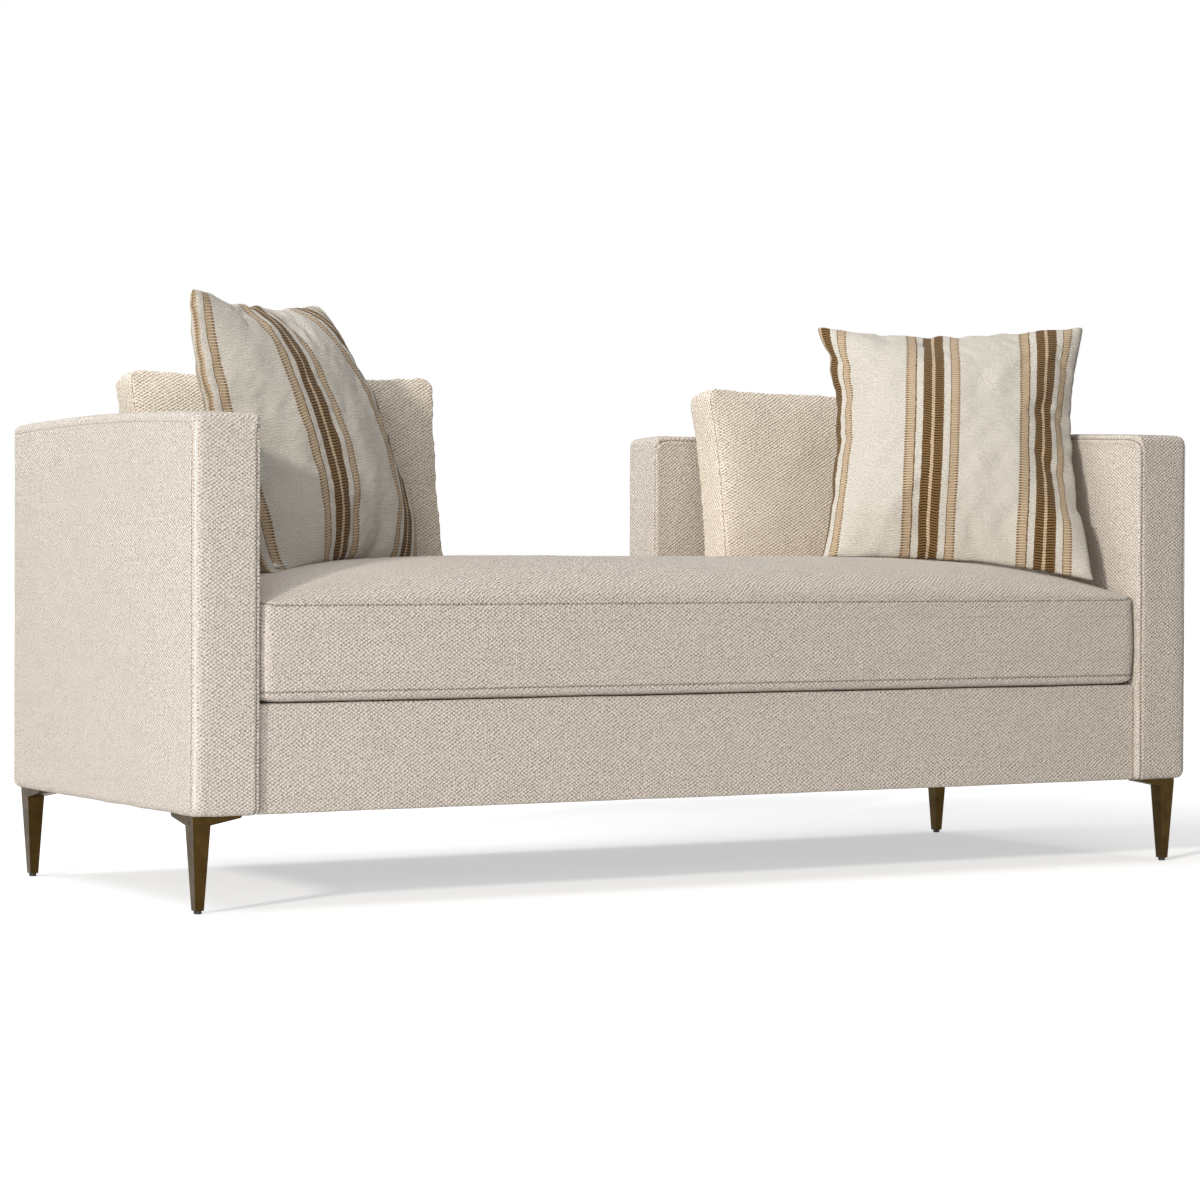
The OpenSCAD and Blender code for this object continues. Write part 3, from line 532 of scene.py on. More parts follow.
def crossed_ridges(tree, place, pitch, slant, uneven, lead=0.27):
    """Two sets of ridges, slanting up and down, with a knot wherever both are high: their height, 0 to 1."""
    drift = noise(tree, place, 0.1 / pitch, 2.0, "Color")
    shift = add_node(tree, "VectorMath", {0: drift, 1: (uneven * pitch,) * 3}, operation="MULTIPLY")
    moved = add_node(tree, "VectorMath", {0: place, 1: shift}, operation="ADD")
    height, turn = 0.5, 2 * math.pi / pitch
    for angle, share in ((-slant, lead), (slant, 0.5 - lead)):
        way = (turn * math.cos(angle), turn * math.sin(angle), 0)
        along = add_node(tree, "VectorMath", {0: moved, 1: way}, operation="DOT_PRODUCT")
        height = calc(tree, "MULTIPLY_ADD", calc(tree, "SINE", along.outputs["Value"]), share, height)
    return height


def knotted(name, pitch, slant, uneven, fuzz, stops, thread, depth, inputs):
    """Cloth of thick soft yarns that cross on the slant, made when it is first asked for."""
    if name in bpy.data.materials:
        return bpy.data.materials[name]
    material, tree, shader = new_material(name)
    place = attribute(tree, "cloth", "Vector")
    height = crossed_ridges(tree, place, pitch, math.radians(slant), uneven)
    share, drop = fuzz
    yarn = noise(tree, place, 240.0, 3.0, Roughness=0.6)
    lift = calc(tree, "MULTIPLY_ADD", yarn, share, calc(tree, "ADD", height, -drop))
    # the colour follows the relief: low places take the gap colour, partly the yarn's own tone and partly
    # painted shade in the hollows between knots; the thread colour also paints shade into the seams
    colour = sewn(tree, ramp(tree, lift, stops), thread)
    inputs = {"Specular IOR Level": 0.25, "Sheen Weight": 0.1, **inputs}
    set_surface(tree, shader, colour, lift, depth, inputs)
    return material


def oatmeal_weave(cloth):
    """Polyester and cotton basket weave: thick soft yarns, so a matt pebbled cream with darker gaps, partly
    the yarn's own tone and partly painted shade in the hollows.
    """
    stops = [(0.3, cloth.gap), (1.0, cloth.knot)]
    inputs = {"Roughness": 0.92, "Sheen Roughness": 0.5}
    pitch = cloth.knot_pitch
    # 5a4225 is the thread colour and also the painted shade in the seams
    return knotted("oatmeal_basket_weave", pitch, 56, 2.4, (1.8, 0.5), stops, "#5a4225", 1.6 * MM, inputs)


def cream_twill(cloth):
    """Cotton twill in a thick yarn: slanting rows of small knots, warmer than the main cloth."""
    # the darker stop is partly the yarn's own tone and partly painted shade in the hollows between knots
    stops = [(0.3, "#b19c81"), (0.95, cloth.twill)]
    inputs = {"Roughness": 0.9}
    pitch = cloth.twill_pitch
    # 5f4a33 is the thread colour and also the painted shade in the seams
    return knotted("cream_cotton_twill", pitch, 60, 1.8, (1.4, 0.4), stops, "#5f4a33", 1.5 * MM, inputs)


def striped_cotton(cloth):
    """Brushed cotton with woven stripes: a soft off-white field, brown and tan bands ribbed across."""
    repeat, first, wander, rib_pitch = 212 * MM, -45 * MM, 5.0 * MM, 4.8 * MM
    half = [("field", 12.5), ("gold", 3.5), ("brown", 12.5), ("dash", 3)]
    left, right = [("tick", 5), ("tan", 12.5), ("line", 2.2)], [("line", 2.2), ("tan", 11.5), ("tick", 4)]
    bands = [*left, *half, *half[::-1], *right]
    # each kind of band: its own colour, and that of the ribs across it
    kinds = {
        "field": (cloth.field, cloth.field),
        "tick": (cloth.tan, "#6b4f30"),
        "tan": (cloth.tan, "#b89f7f"),
        "line": ("#5f482c", "#9a805c"),
        "gold": ("#7f6139", "#6f5230"),
        "brown": ("#957548", cloth.brown),
        "dash": ("#e3d0b4", "#bfa482"),
    }
    starts, reach = [(0.0, "field")], (repeat - sum(width for _, width in bands) * MM) / 2
    for kind, width in bands:
        starts.append((reach / repeat, kind))
        reach += width * MM
    starts.append((reach / repeat, "field"))
    # where the cloth's edge cuts a group short, its brown gives way to tan
    pale_starts = [(at, "tan" if kind in ("gold", "brown", "dash") else kind) for at, kind in starts]

    material, tree, shader = new_material("striped_brushed_cotton")
    place = attribute(tree, "cloth", "Vector")
    loose = noise(tree, place, 330.0, 3.0)
    split = add_node(tree, "SeparateXYZ", {0: place})
    wavy = calc(tree, "MULTIPLY_ADD", calc(tree, "SUBTRACT", loose, 0.5), wander, split.outputs["X"])
    phase = calc(tree, "MULTIPLY", calc(tree, "SUBTRACT", wavy, first - repeat / 2), 1 / repeat)
    phase = calc(tree, "FRACT", phase)
    pale = attribute(tree, "pale")
    layers = []
    for layer in (0, 1):
        plain, light = (
            ramp(tree, phase, [(at, kinds[kind][layer]) for at, kind in run], "CONSTANT")
            for run in (starts, pale_starts)
        )
        layers.append(mix(tree, pale, plain, light))
    rib = calc(tree, "SINE", calc(tree, "MULTIPLY", split.outputs["Y"], 2 * math.pi / rib_pitch))
    rib = calc(tree, "MULTIPLY_ADD", loose, 1.5, rib)
    rib_share = spread(tree, rib, 0.5, 1.1, 0.0, 1.0)
    colour = mix(tree, rib_share, *layers)
    height = crossed_ridges(tree, place, 3.0 * MM, 0.9, 2.0, 0.25)
    nap = calc(tree, "MULTIPLY_ADD", loose, 1.2, calc(tree, "MULTIPLY", height, 0.3))
    tint = ramp(tree, nap, [(0.45, "#d6d0c6"), (0.95, "#ffffff")])
    colour = mix(tree, 1.0, colour, tint, "MULTIPLY")
    # painted shade: the cloth darkens within 3 mm of the pillow's sewn edge, where the two sheets pinch
    # together
    painted_edge_shade = spread(tree, attribute(tree, "border"), 0.8, 3.0, 0.55, 0.0)
    colour = mix(tree, painted_edge_shade, colour, "#5a4630")
    relief = calc(tree, "MULTIPLY_ADD", rib_share, -0.6, nap)
    inputs = {"Roughness": 0.95, "Specular IOR Level": 0.15, "Sheen Weight": 0.15}
    set_surface(tree, shader, colour, relief, 1.2 * MM, inputs)
    return material


def antique_brass():
    """Cast brass, brushed and darkened: warm satin metal with a browner, rougher film in patches."""
    material, tree, shader = new_material("antiqued_brushed_brass")
    place = add_node(tree, "TexCoord").outputs["Object"]
    stretched = add_node(tree, "Mapping", {"Vector": place, "Scale": (900, 900, 25)})
    brush = noise(tree, stretched, 1.0, 3.0)
    film = noise(tree, place, 38.0, 3.0)
    colour = ramp(tree, film, [(0.3, "#43331a"), (0.7, "#524021")])
    streak = ramp(tree, brush, [(0.2, "#e0e0e0"), (0.8, "#ffffff")])
    colour = mix(tree, 1.0, colour, streak, "MULTIPLY")
    rough = spread(tree, film, 0.3, 0.7, 0.42, 0.3)
    set_surface(tree, shader, colour, brush, 0.1 * MM, {"Roughness": rough, "Metallic": 1.0}, 0.25)
    return material


def edge_highlight_brass():
    """The same brass, coloured brighter along the softened edges: a painted highlight where the edges would
    catch the light.
    """
    material, tree, shader = new_material("brass_rubbed_edges")
    highlight_mottle = noise(tree, add_node(tree, "TexCoord").outputs["Object"], 90.0, 3.0)
    # painted highlight: a light brass colour that stands in for the edges catching the light
    colour = ramp(tree, highlight_mottle, [(0.35, "#7d6438"), (0.65, "#b89c6c")])
    set_surface(tree, shader, colour, highlight_mottle, 0.1 * MM, {"Roughness": 0.3, "Metallic": 1.0}, 0.2)
    return material


def plain_stock(name, dark, light, stretch, roughness, depth, metallic=0.0):
    """A plain piece's stock, with its grain, fibres or drawing lines as stretched noise.

    stretch is the size of a mark along X, Y and Z, and depth that of its relief, in millimetres."""
    if name in bpy.data.materials:
        return bpy.data.materials[name]
    material, tree, shader = new_material(name)
    place = add_node(tree, "TexCoord").outputs["Object"]
    scaled = add_node(tree, "Mapping", {"Vector": place, "Scale": tuple(1 / (s * MM) for s in stretch)})
    grain = noise(tree, scaled, 1.0, 5.0, Roughness=0.6)
    patches = noise(tree, place, 7.0, 2.0)
    value = calc(tree, "MULTIPLY_ADD", patches, 0.4, calc(tree, "MULTIPLY", grain, 0.6))
    colour = ramp(tree, value, [(0.35, dark), (0.65, light)])
    set_surface(tree, shader, colour, grain, depth * MM, {"Roughness": roughness, "Metallic": metallic}, 0.5)
    return material


def seat_foam():
    """Flexible foam, cut from a block: pale yellow and dull, with fine open cells."""
    return plain_stock("open_cell_seat_foam", "#e6dcb9", "#f3ecd2", (1.2, 1.2, 1.2), 0.95, 0.6)


def pillow_case():
    """Plain woven cotton case round the pillow's fill: matt off-white with a fine thread."""
    return plain_stock("plain_cotton_pillow_case", "#e4e1da", "#f5f3ef", (1.5, 1.5, 1.5), 0.9, 0.3)


# Ends: each arm with its short return along the back, one padded L


class EndPlan:
    """The left end's outline, anticlockwise from the arm's front, and its points at any inset."""

    turns = 7

    def __init__(self, edge_round, pitch=11 * MM):
        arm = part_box("left_end_cover")
        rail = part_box("front_rail_cover")
        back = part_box("back_rail_cover")
        x0, x1, x3 = arm[0].x, rail[0].x, back[0].x
        y0, y1, y2 = arm[0].y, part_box("seat_cushion_cover")[1].y + 4 * MM, arm[1].y
        self.corners = np.array([(x0, y0), (x1, y0), (x1, y1), (x3, y1), (x3, y2), (x0, y2)])
        self.rounds = [edge_round, 8 * MM, 5 * MM, 7 * MM, edge_round, edge_round]
        side = np.roll(self.corners, -1, 0) - self.corners
        self.length = np.linalg.norm(side, axis=1)
        way = side / self.length[:, None]
        self.inward = np.column_stack([-way[:, 1], way[:, 0]])
        arm_run = self.shares(1, pitch)
        back_run = self.shares(2, pitch)
        end_run = self.shares(0, 9 * MM)
        self.run_shares = [end_run, arm_run, back_run, end_run, 1 - back_run[::-1], 1 - arm_run[::-1]]
        self.columns = []
        for i in range(6):
            self.columns += [("turn", i, k / self.turns) for k in range(self.turns)]
            self.columns += [("run", i, s) for s in self.run_shares[i][:-1]]
        self.along = len(arm_run) - 1 + self.turns + len(back_run) - 1
        self.wide = 2 * self.turns + len(end_run) - 1

    def shares(self, i, pitch):
        straight = self.length[i] - self.rounds[i] - self.rounds[(i + 1) % 6]
        return run_places(straight, pitch) / straight

    def facing_in(self, i, share):
        """The inward direction at a share of the turn at corner i."""
        angle = share * math.pi / 2
        return self.inward[i - 1] * math.cos(angle) + self.inward[i] * math.sin(angle)

    def turn_point(self, i, share, inset):
        both = self.inward[i - 1] + self.inward[i]
        # corner 2, between the arm and the return, is hollow
        r = -(self.rounds[i] + inset) if i == 2 else max(self.rounds[i] - inset, 0.05 * MM)
        return self.corners[i] + inset * both + r * both - r * self.facing_in(i, share)

    def point(self, column, inset):
        kind, i, s = column
        if kind == "turn":
            return self.turn_point(i, s, inset)
        a = self.turn_point(i, 1, inset)
        b = self.turn_point((i + 1) % 6, 0, inset)
        return a + (b - a) * s

    def outward(self, column):
        kind, i, s = column
        return -self.inward[i] if kind == "run" else -self.facing_in(i, s)


TOP_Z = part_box("left_end_cover")[1].z
CROWN = 8 * MM


def arm_top(y):
    """Height of the top of an end, which falls away a little to the front and the rear."""
    return TOP_Z - CROWN * (y / HALF_D) ** 2


# by side of the end's outline: the rounding of its top edge in mm, and its share of the swell
END_ROUNDING = (14, 9, 9, 14, 13, 14)
END_SWELL = (0.35, 0.5, 0.5, 0.3, 0.7, 1.0)


def end_rounding(column):
    kind, i, s = column
    s = 1 if kind == "run" else s
    return (END_ROUNDING[i - 1] * (1 - s) + END_ROUNDING[i] * s) * MM


def end_swell(column, side_swell):
    kind, i, s = column
    if kind == "turn":
        return 0.0
    return END_SWELL[i] * side_swell * min(1.0, 2.2 * math.sin(math.pi * s)) ** 0.8


def cap_grid(plan, loop):
    """Points that fill the strip inside a loop of the plan's columns: rows along it, each across it."""
    n, m = plan.along, plan.wide
    front = loop[: m + 1]
    inner = loop[m : m + n + 1]
    end = loop[m + n : 2 * m + n + 1]
    outer = np.vstack([loop[2 * m + n :], loop[:1]])[::-1]
    end = end[::-1]
    s = np.linspace(0, 1, n + 1)[:, None, None]
    t = np.linspace(0, 1, m + 1)[None, :, None]
    sides = outer[:, None] * (1 - t) + inner[:, None] * t
    ends = front[None] * (1 - s) + end[None] * s
    rear, fore = outer[-1] * (1 - t) + inner[-1] * t, outer[0] * (1 - t) + inner[0] * t
    corners = fore * (1 - s) + rear * s
    near_front = np.exp(-s * n / 8) + np.exp(-(1 - s) * n / 8)
    return sides + (ends - corners) * np.clip(near_front, 0, 1)


def end_mesh(name, form):
    plan = EndPlan(form.edge_round)
    columns = plan.columns
    lip, bottom_round, side_height = 18 * MM, 12 * MM, 0.55
    bottom_steps, top_steps = 6, 9
    rounds = np.array([end_rounding(c) for c in columns])
    swells = np.array([end_swell(c, form.side_swell) for c in columns])
    out = np.array([plan.outward(c) for c in columns])
    base = np.array([plan.point(c, 0) for c in columns])

    def ring(insets, bulge=0.0):
        insets = np.broadcast_to(insets, len(columns))
        places = np.array([plan.point(c, d) for c, d in zip(columns, insets)])
        return places + out * (swells * bulge)[:, None]

    flat = BODY_Z - COVER_DROP + 0.9 * MM * ripple(np.column_stack([base, 0 * rounds]), 0.12, 5)
    rows = [(ring(lip), flat + 4 * MM), (ring(lip), flat)]
    for k in range(bottom_steps):
        a = math.pi / 2 * k / bottom_steps
        rows.append((ring(bottom_round * (1 - math.sin(a))), flat + bottom_round * (1 - math.cos(a))))
    low, high = flat + bottom_round, arm_top(base[:, 1]) - rounds
    for s in run_places(side_height, 11 * MM) / side_height:
        rows.append((ring(0.0, math.sin(math.pi * s) ** 0.7), low + (high - low) * s))
    for k in range(1, top_steps + 1):
        a = math.pi / 2 * k / top_steps
        xy = ring(rounds * (1 - math.cos(a)))
        rows.append((xy, arm_top(xy[:, 1]) - rounds * (1 - math.sin(a))))
    count = len(columns)
    points = [point for row in rows for point in np.column_stack(row)]
    faces = []
    for start in range(0, (len(rows) - 1) * count, count):
        faces += band_quads(range(start + count, start + 2 * count), range(start, start + count))
    n, m = plan.along, plan.wide
    across, along = np.linspace(-1, 1, m + 1)[None], np.linspace(0, math.pi, n + 1)[:, None]
    for (xy, _), is_top in ((rows[-1], True), (rows[0], False)):
        grid = cap_grid(plan, xy)
        z = np.full(grid.shape[:2], BODY_Z + 4 * MM)
        if is_top:
            z = arm_top(grid[..., 1]) + 2 * MM * (1 - across**2) * np.sin(along) ** 0.3
        faces += grid_quads(n + 1, m + 1, len(points), is_top)
        points += list(np.dstack([grid, z]).reshape(-1, 3))
    obj = new_object(name, points, faces)
    weld(obj, 0.06 * MM)
    return obj, plan


def weld(obj, distance):
    bm = bmesh.new()
    bm.from_mesh(obj.data)
    bmesh.ops.remove_doubles(bm, verts=bm.verts, dist=distance)
    bmesh.ops.dissolve_degenerate(bm, edges=bm.edges, dist=distance / 2)
    bmesh.ops.recalc_face_normals(bm, faces=bm.faces)
    bm.to_mesh(obj.data)
    bm.free()
    shade(obj.data)


def end_seams(plan):
    """The two seams beside the band that runs up the front, over the top and down the return's end."""
    bend, step = 18 * MM, SEAM_STEP

    def band_edge(corners, outward, starts, rounding, depth, turns=None):
        sides = []
        for k, out in enumerate(outward):
            way = (corners[k + 1] - corners[k]) / np.linalg.norm(corners[k + 1] - corners[k])
            start = corners[k] + way * (starts[0] if k == 0 else 0)
            stop = corners[k + 1] - way * (starts[1] if k == len(outward) - 1 else 0)
            count = int(np.linalg.norm(stop - start) / step)
            sides += [(start + way * step * j, way, out) for j in range(count)]
        uprights = []
        for turn in (1, -1):
            p, way, _ = sides[0] if turn > 0 else sides[-1]
            way, high = way * turn, arm_top(p[1]) - depth
            foot, lean = turns[0 if turn > 0 else 1] if turns else (p, way)
            line = [((*foot, z), (*lean, 0)) for z in np.arange(BODY_Z, high - bend, step)]
            for a in np.linspace(0, math.pi / 2, 20):
                t = a / (math.pi / 2)
                spot = foot * (1 - t) + p * t + way * bend * (1 - math.cos(a))
                side = lean * (1 - t) + way * t
                z = high - bend + bend * math.sin(a)
                line.append(((*spot, z), (*(side * math.cos(a)), -math.sin(a))))
            uprights.append(line)
        rise = max(1 - depth / rounding, 0)
        fall = math.sqrt(1 - rise * rise)
        inset, skip = rounding * (1 - fall), int(bend / step) + 1
        top = [
            ((*(p - out * inset), arm_top(p[1]) - depth), (*(out * rise), -fall))
            for p, _, out in sides[skip:-skip]
        ]
        return [(np.array(p), np.array(a)) for p, a in uprights[0] + top + uprights[1][::-1]]

    c, out = plan.corners, -plan.inward
    front_side = plan.outward(("turn", 1, 0.2))
    end_side = plan.outward(("turn", 3, 0.8))
    turns = (
        (plan.turn_point(1, 0.2, 0), np.array([-front_side[1], front_side[0]])),
        (plan.turn_point(3, 0.8, 0), np.array([end_side[1], -end_side[0]])),
    )
    inner_starts = plan.rounds[1], plan.rounds[3]
    inner = band_edge(c[1:4], out[1:3], inner_starts, 9 * MM, 8 * MM, turns)
    outer = band_edge(c[[0, 5, 4]], out[[5, 4]], (12 * MM, 12 * MM), 14 * MM, 15 * MM)
    # the outer seam shows less over the top than down the uprights
    fade = [float(np.clip((spot[2] - TOP_Z + 0.05) / 0.03, 0, 1)) for spot, _ in outer]
    return [inner, [(spot, way * (0.55 - 0.45 * f)) for (spot, way), f in zip(outer, fade)]]


class SETTEE_OT_ends(bpy.types.Operator):
    """Makes the padded ends: each arm with its return, sewn along both sides of its band"""

    bl_idname = "settee.ends"
    bl_label = "Arms and returns"

    def execute(self, context):
        form, cloth = context.scene.settee_form, context.scene.settee_cloth
        material = oatmeal_weave(cloth)
        for side, sign in (("left", 1), ("right", -1)):
            obj, plan = end_mesh(side + "_end_upholstery", form)
            push_out(obj, 0.5 * MM * ripple(points_of(obj), 0.22, 3 + sign))
            sew(obj, end_seams(plan), cloth.seam_depth, (1.1 * MM, 0.0), roll_at=-4.0)
            if sign < 0:
                obj.data.transform(Matrix.Scale(-1, 4, (1, 0, 0)))
                obj.data.flip_normals()
            lay_cloth(obj)
            finish_piece(obj, material, "frame", side + "_end_cover")
        return {"FINISHED"}


def soft_block(name, low, high, r, pitch, wave, seed):
    """A rounded, slightly wavy block of upholstery between two corners."""
    low, high = np.array(low), np.array(high)
    size = high - low
    edge = [v for v in EDGE_STEPS if v < r * 1.2] + [r * 1.3]

    def places(length):
        inner = length - 2 * edge[-1]
        count = max(1, round(inner / pitch))
        middle = [edge[-1] + inner * i / count for i in range(1, count)]
        return np.array(edge + middle + [length - v for v in reversed(edge)])

    xs, ys, zs = (places(s) for s in size)
    nx, ny = len(xs), len(ys)
    gx, gy = np.meshgrid(xs, ys, indexing="ij")
    bottom = np.column_stack([gx.ravel(), gy.ravel(), np.zeros(nx * ny)])
    up = np.array([0, 0, 1])
    rings = [bottom[rim(nx, ny)] + up * z for z in zs[-2:0:-1]]
    obj = grid_form(name, nx, ny, bottom + up * size[2], bottom, rings)
    p = points_of(obj)
    core = np.clip(p, r, size - r)
    away = p - core
    reach = np.linalg.norm(away, axis=1)[:, None]
    p = np.where(reach > 1e-9, core + away / np.maximum(reach, 1e-9) * r, p) + low
    set_points(obj, p)
    push_out(obj, wave * ripple(p, 0.18, seed))
    return obj


class SETTEE_OT_rails(bpy.types.Operator):
    """Makes the covered front and back rails between the ends"""

    bl_idname = "settee.rails"
    bl_label = "Covered rails"

    def execute(self, context):
        material = oatmeal_weave(context.scene.settee_cloth)
        drop = Vector((0, 0, COVER_DROP))
        for where in ("front", "back"):
            low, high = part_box(where + "_rail_cover")
            obj = soft_block(where + "_rail_upholstery", low - drop, high, 5 * MM, 11 * MM, 0.6 * MM, 11)
            lay_cloth(obj)
            finish_piece(obj, material, "frame", where + "_rail_cover")
        return {"FINISHED"}


# Loose cushions


def cushion_grid(half_x, half_y, corner, pitch):
    xs = run_places(2 * half_x, pitch) - half_x
    ys = run_places(2 * half_y, pitch) - half_y
    gx, gy = np.meshgrid(xs, ys, indexing="ij")
    x, y = corner_round(gx.ravel(), gy.ravel(), half_x, half_y, corner)
    return len(xs), len(ys), x, y


def level(x, y, half, out, z):
    """Points of a cushion's plan at height z, set out by this much from its half sizes."""
    return np.column_stack([x * (1 + out / half[0]), y * (1 + out / half[1]), np.full(len(x), z)])


def rim_neighbours(nx, ny):
    """For each point of the rim, the grid point next to it on the inside."""
    pairs = (divmod(e, ny) for e in rim(nx, ny))
    return [min(max(i, 1), nx - 2) * ny + min(max(j, 1), ny - 2) for i, j in pairs]


def turned(angle, axis):
    """A turn by an angle in degrees."""
    return Matrix.Rotation(math.radians(angle), 4, axis)


class SETTEE_OT_seat(bpy.types.Operator):
    """Makes the bench seat cushion: a boxed cushion, crowned along the front of its top"""

    bl_idname = "settee.seat"
    bl_label = "Seat cushion"

    def execute(self, context):
        form, cloth = context.scene.settee_form, context.scene.settee_cloth
        low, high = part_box("seat_cushion_cover")
        swell_out = 2.5 * MM
        half = half_x, half_y = (high.x - low.x) / 2 - 0.5 * MM, (high.y - low.y) / 2 - swell_out
        upper, lower, base = high.z - form.seat_crown, DECK_Z + 17 * MM, DECK_Z + 0.3 * MM
        nx, ny, x, y = cushion_grid(half_x, half_y, 24 * MM, 12 * MM)
        crest = -half_y + 0.42 * 2 * half_y
        front, rear = swell((y + half_y) / (crest + half_y), 2.8), ease((half_y - y) / (half_y - crest))
        rise = swell((half_x - np.abs(x)) / half_x, 4.2) * np.where(y < crest, front, rear)
        top = np.column_stack([x, y, upper + form.seat_crown * rise])
        edge = rim(nx, ny)
        rings = []
        for s in run_places(upper - lower, 11 * MM)[1:]:
            bulge = swell_out * math.sin(math.pi * s / (upper - lower))
            rings.append(level(x[edge], y[edge], half, bulge, upper - s))
        last = len(rings) - 1
        # the lower panel curls in under the boxing, and leaves a narrow gap over the rail
        curl = ((0.3, 14), (1, 11.5), (2.2, 9), (4, 6.8), (6.5, 5), (10, 3.6), (15, 2.2), (20, 1))
        for inset, over in curl:
            rings.append(level(x[edge], y[edge], half, -inset * MM, base + over * MM))
        bottom = level(x, y, half, -26 * MM, base)
        obj = grid_form("seat_cushion_boxed", nx, ny, top, bottom, rings)
        p = points_of(obj) + [(low.x + high.x) / 2, (low.y + high.y) / 2, 0]
        set_points(obj, p)
        push_out(obj, ripple(p, 0.3, 21) * 1.2 * MM * np.clip((p[:, 2] - base) / (60 * MM), 0, 1))
        p = points_of(obj)
        above, boxing_foot, below = (ring_ids(nx, ny, last + k) for k in (-1, 0, 1))
        seams = [
            rim_seam(p, edge, rim_neighbours(nx, ny), ring_ids(nx, ny, 0)),
            rim_seam(p, boxing_foot, below, above),
        ]
        crown = p[: nx * ny].reshape(nx, ny, 3)
        sew(obj, seams, cloth.seam_depth, (0.6 * MM, 0.6 * MM), roll_at=-4.0, pucker=0.35 * MM)
        lay_cloth(obj, runs_along(crown).ravel())
        body = "seat_cushion"
        finish_piece(obj, oatmeal_weave(cloth), body, body + "_cover")
        fill_cover(obj, body + "_foam", seat_foam(), 6 * MM, body, body + "_core")
        return {"FINISHED"}


def place_like(obj, node, turn):
    """Turns obj and moves it so that its middle is the CAD node's."""
    low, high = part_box(node)
    p = points_of(obj) @ np.array(turn.to_3x3()).T
    middle = Vector((p.max(0) + p.min(0)) / 2)
    obj.matrix_world = Matrix.Translation((low + high) / 2 - middle) @ turn


class SETTEE_OT_backs(bpy.types.Operator):
    """Makes the two boxed back cushions, leaning on the returns"""

    bl_idname = "settee.backs"
    bl_label = "Back cushions"

    def execute(self, context):
        cloth = context.scene.settee_cloth
        material = cream_twill(cloth)
        boxing, front_crown, rear_crown, draw, height = (v * MM for v in (68, 30, 10, 8, 360))
        for side, width, yaw, seed in (("left", 546 * MM, -1.5, 31), ("right", 514 * MM, 0.0, 32)):
            half = half_x, half_y = width / 2, height / 2
            nx, ny, x, y = cushion_grid(half_x, half_y, 22 * MM, 10 * MM)
            u, v = x / half_x, y / half_y
            rise = swell(1 - np.abs(u), 2.4) * swell(1 - np.abs(v), 2.4)
            x, y = x - u * draw * (1 - v * v), y - v * draw * (1 - u * u)
            top = np.column_stack([x, y, boxing / 2 + front_crown * rise])
            bottom = np.column_stack([x, y, -boxing / 2 - rear_crown * rise])
            edge, inside = rim(nx, ny), rim_neighbours(nx, ny)
            rings = [
                level(x[edge], y[edge], half, 3 * MM * math.sin(math.pi * s / boxing), boxing / 2 - s)
                for s in run_places(boxing, 10 * MM)[1:-1]
            ]
            obj = grid_form(side + "_back_cushion_boxed", nx, ny, top, bottom, rings)
            push_out(obj, 1.7 * MM * ripple(points_of(obj), 0.13, seed))
            p, n = points_of(obj), nx * ny
            behind = [n + e for e in edge], [n + e for e in inside]
            seams = [
                rim_seam(p, edge, inside, ring_ids(nx, ny, 0)),
                rim_seam(p, *behind, ring_ids(nx, ny, len(rings) - 1)),
            ]
            sew(obj, seams, cloth.seam_depth * 0.8, (0.5 * MM, 0.5 * MM), roll_at=-3.5, pucker=0.9 * MM)
            lay_cloth(obj)
            lean = turned(yaw, "Z") @ turned(-10, "X") @ turned(90, "X")
            place_like(obj, side + "_back_cushion_cover", lean)
            body = side + "_back_cushion"
            fill_cover(obj, body + "_foam", seat_foam(), 6 * MM, body, body + "_core")
            bake(obj)
            finish_piece(obj, material, body, body + "_cover")
        return {"FINISHED"}


CLOTH_FEEL = {
    "quality": 6,
    "mass": 0.15,
    "air_damping": 2.0,
    "tension_stiffness": 15,
    "compression_stiffness": 15,
    "shear_stiffness": 6,
    "bending_stiffness": 0.3,
    "use_pressure": True,
}
SHEET_SHARE = 1.09  # a pillow's flat sheet, over the distance between the filled pillow's corners


def fill_cloth(obj, pressure, share, frames=26):
    """Blows the sewn sheets up as cloth, and takes this share of the way there, as a soft fill does."""
    start = points_of(obj)
    cloth = obj.modifiers.new("Fill", "CLOTH")
    for key, value in CLOTH_FEEL.items():
        setattr(cloth.settings, key, value)
    cloth.settings.uniform_pressure_force = pressure
    cloth.settings.effector_weights.gravity = 0
    cloth.collision_settings.use_collision = False
    scene = bpy.context.scene
    for step in range(1, frames + 1):
        scene.frame_set(step)
    filled = obj.evaluated_get(bpy.context.evaluated_depsgraph_get())
    end = read(filled.to_mesh().vertices, "co")
    filled.to_mesh_clear()
    obj.modifiers.remove(cloth)
    scene.frame_set(1)
    set_points(obj, start + (end - start) * share)


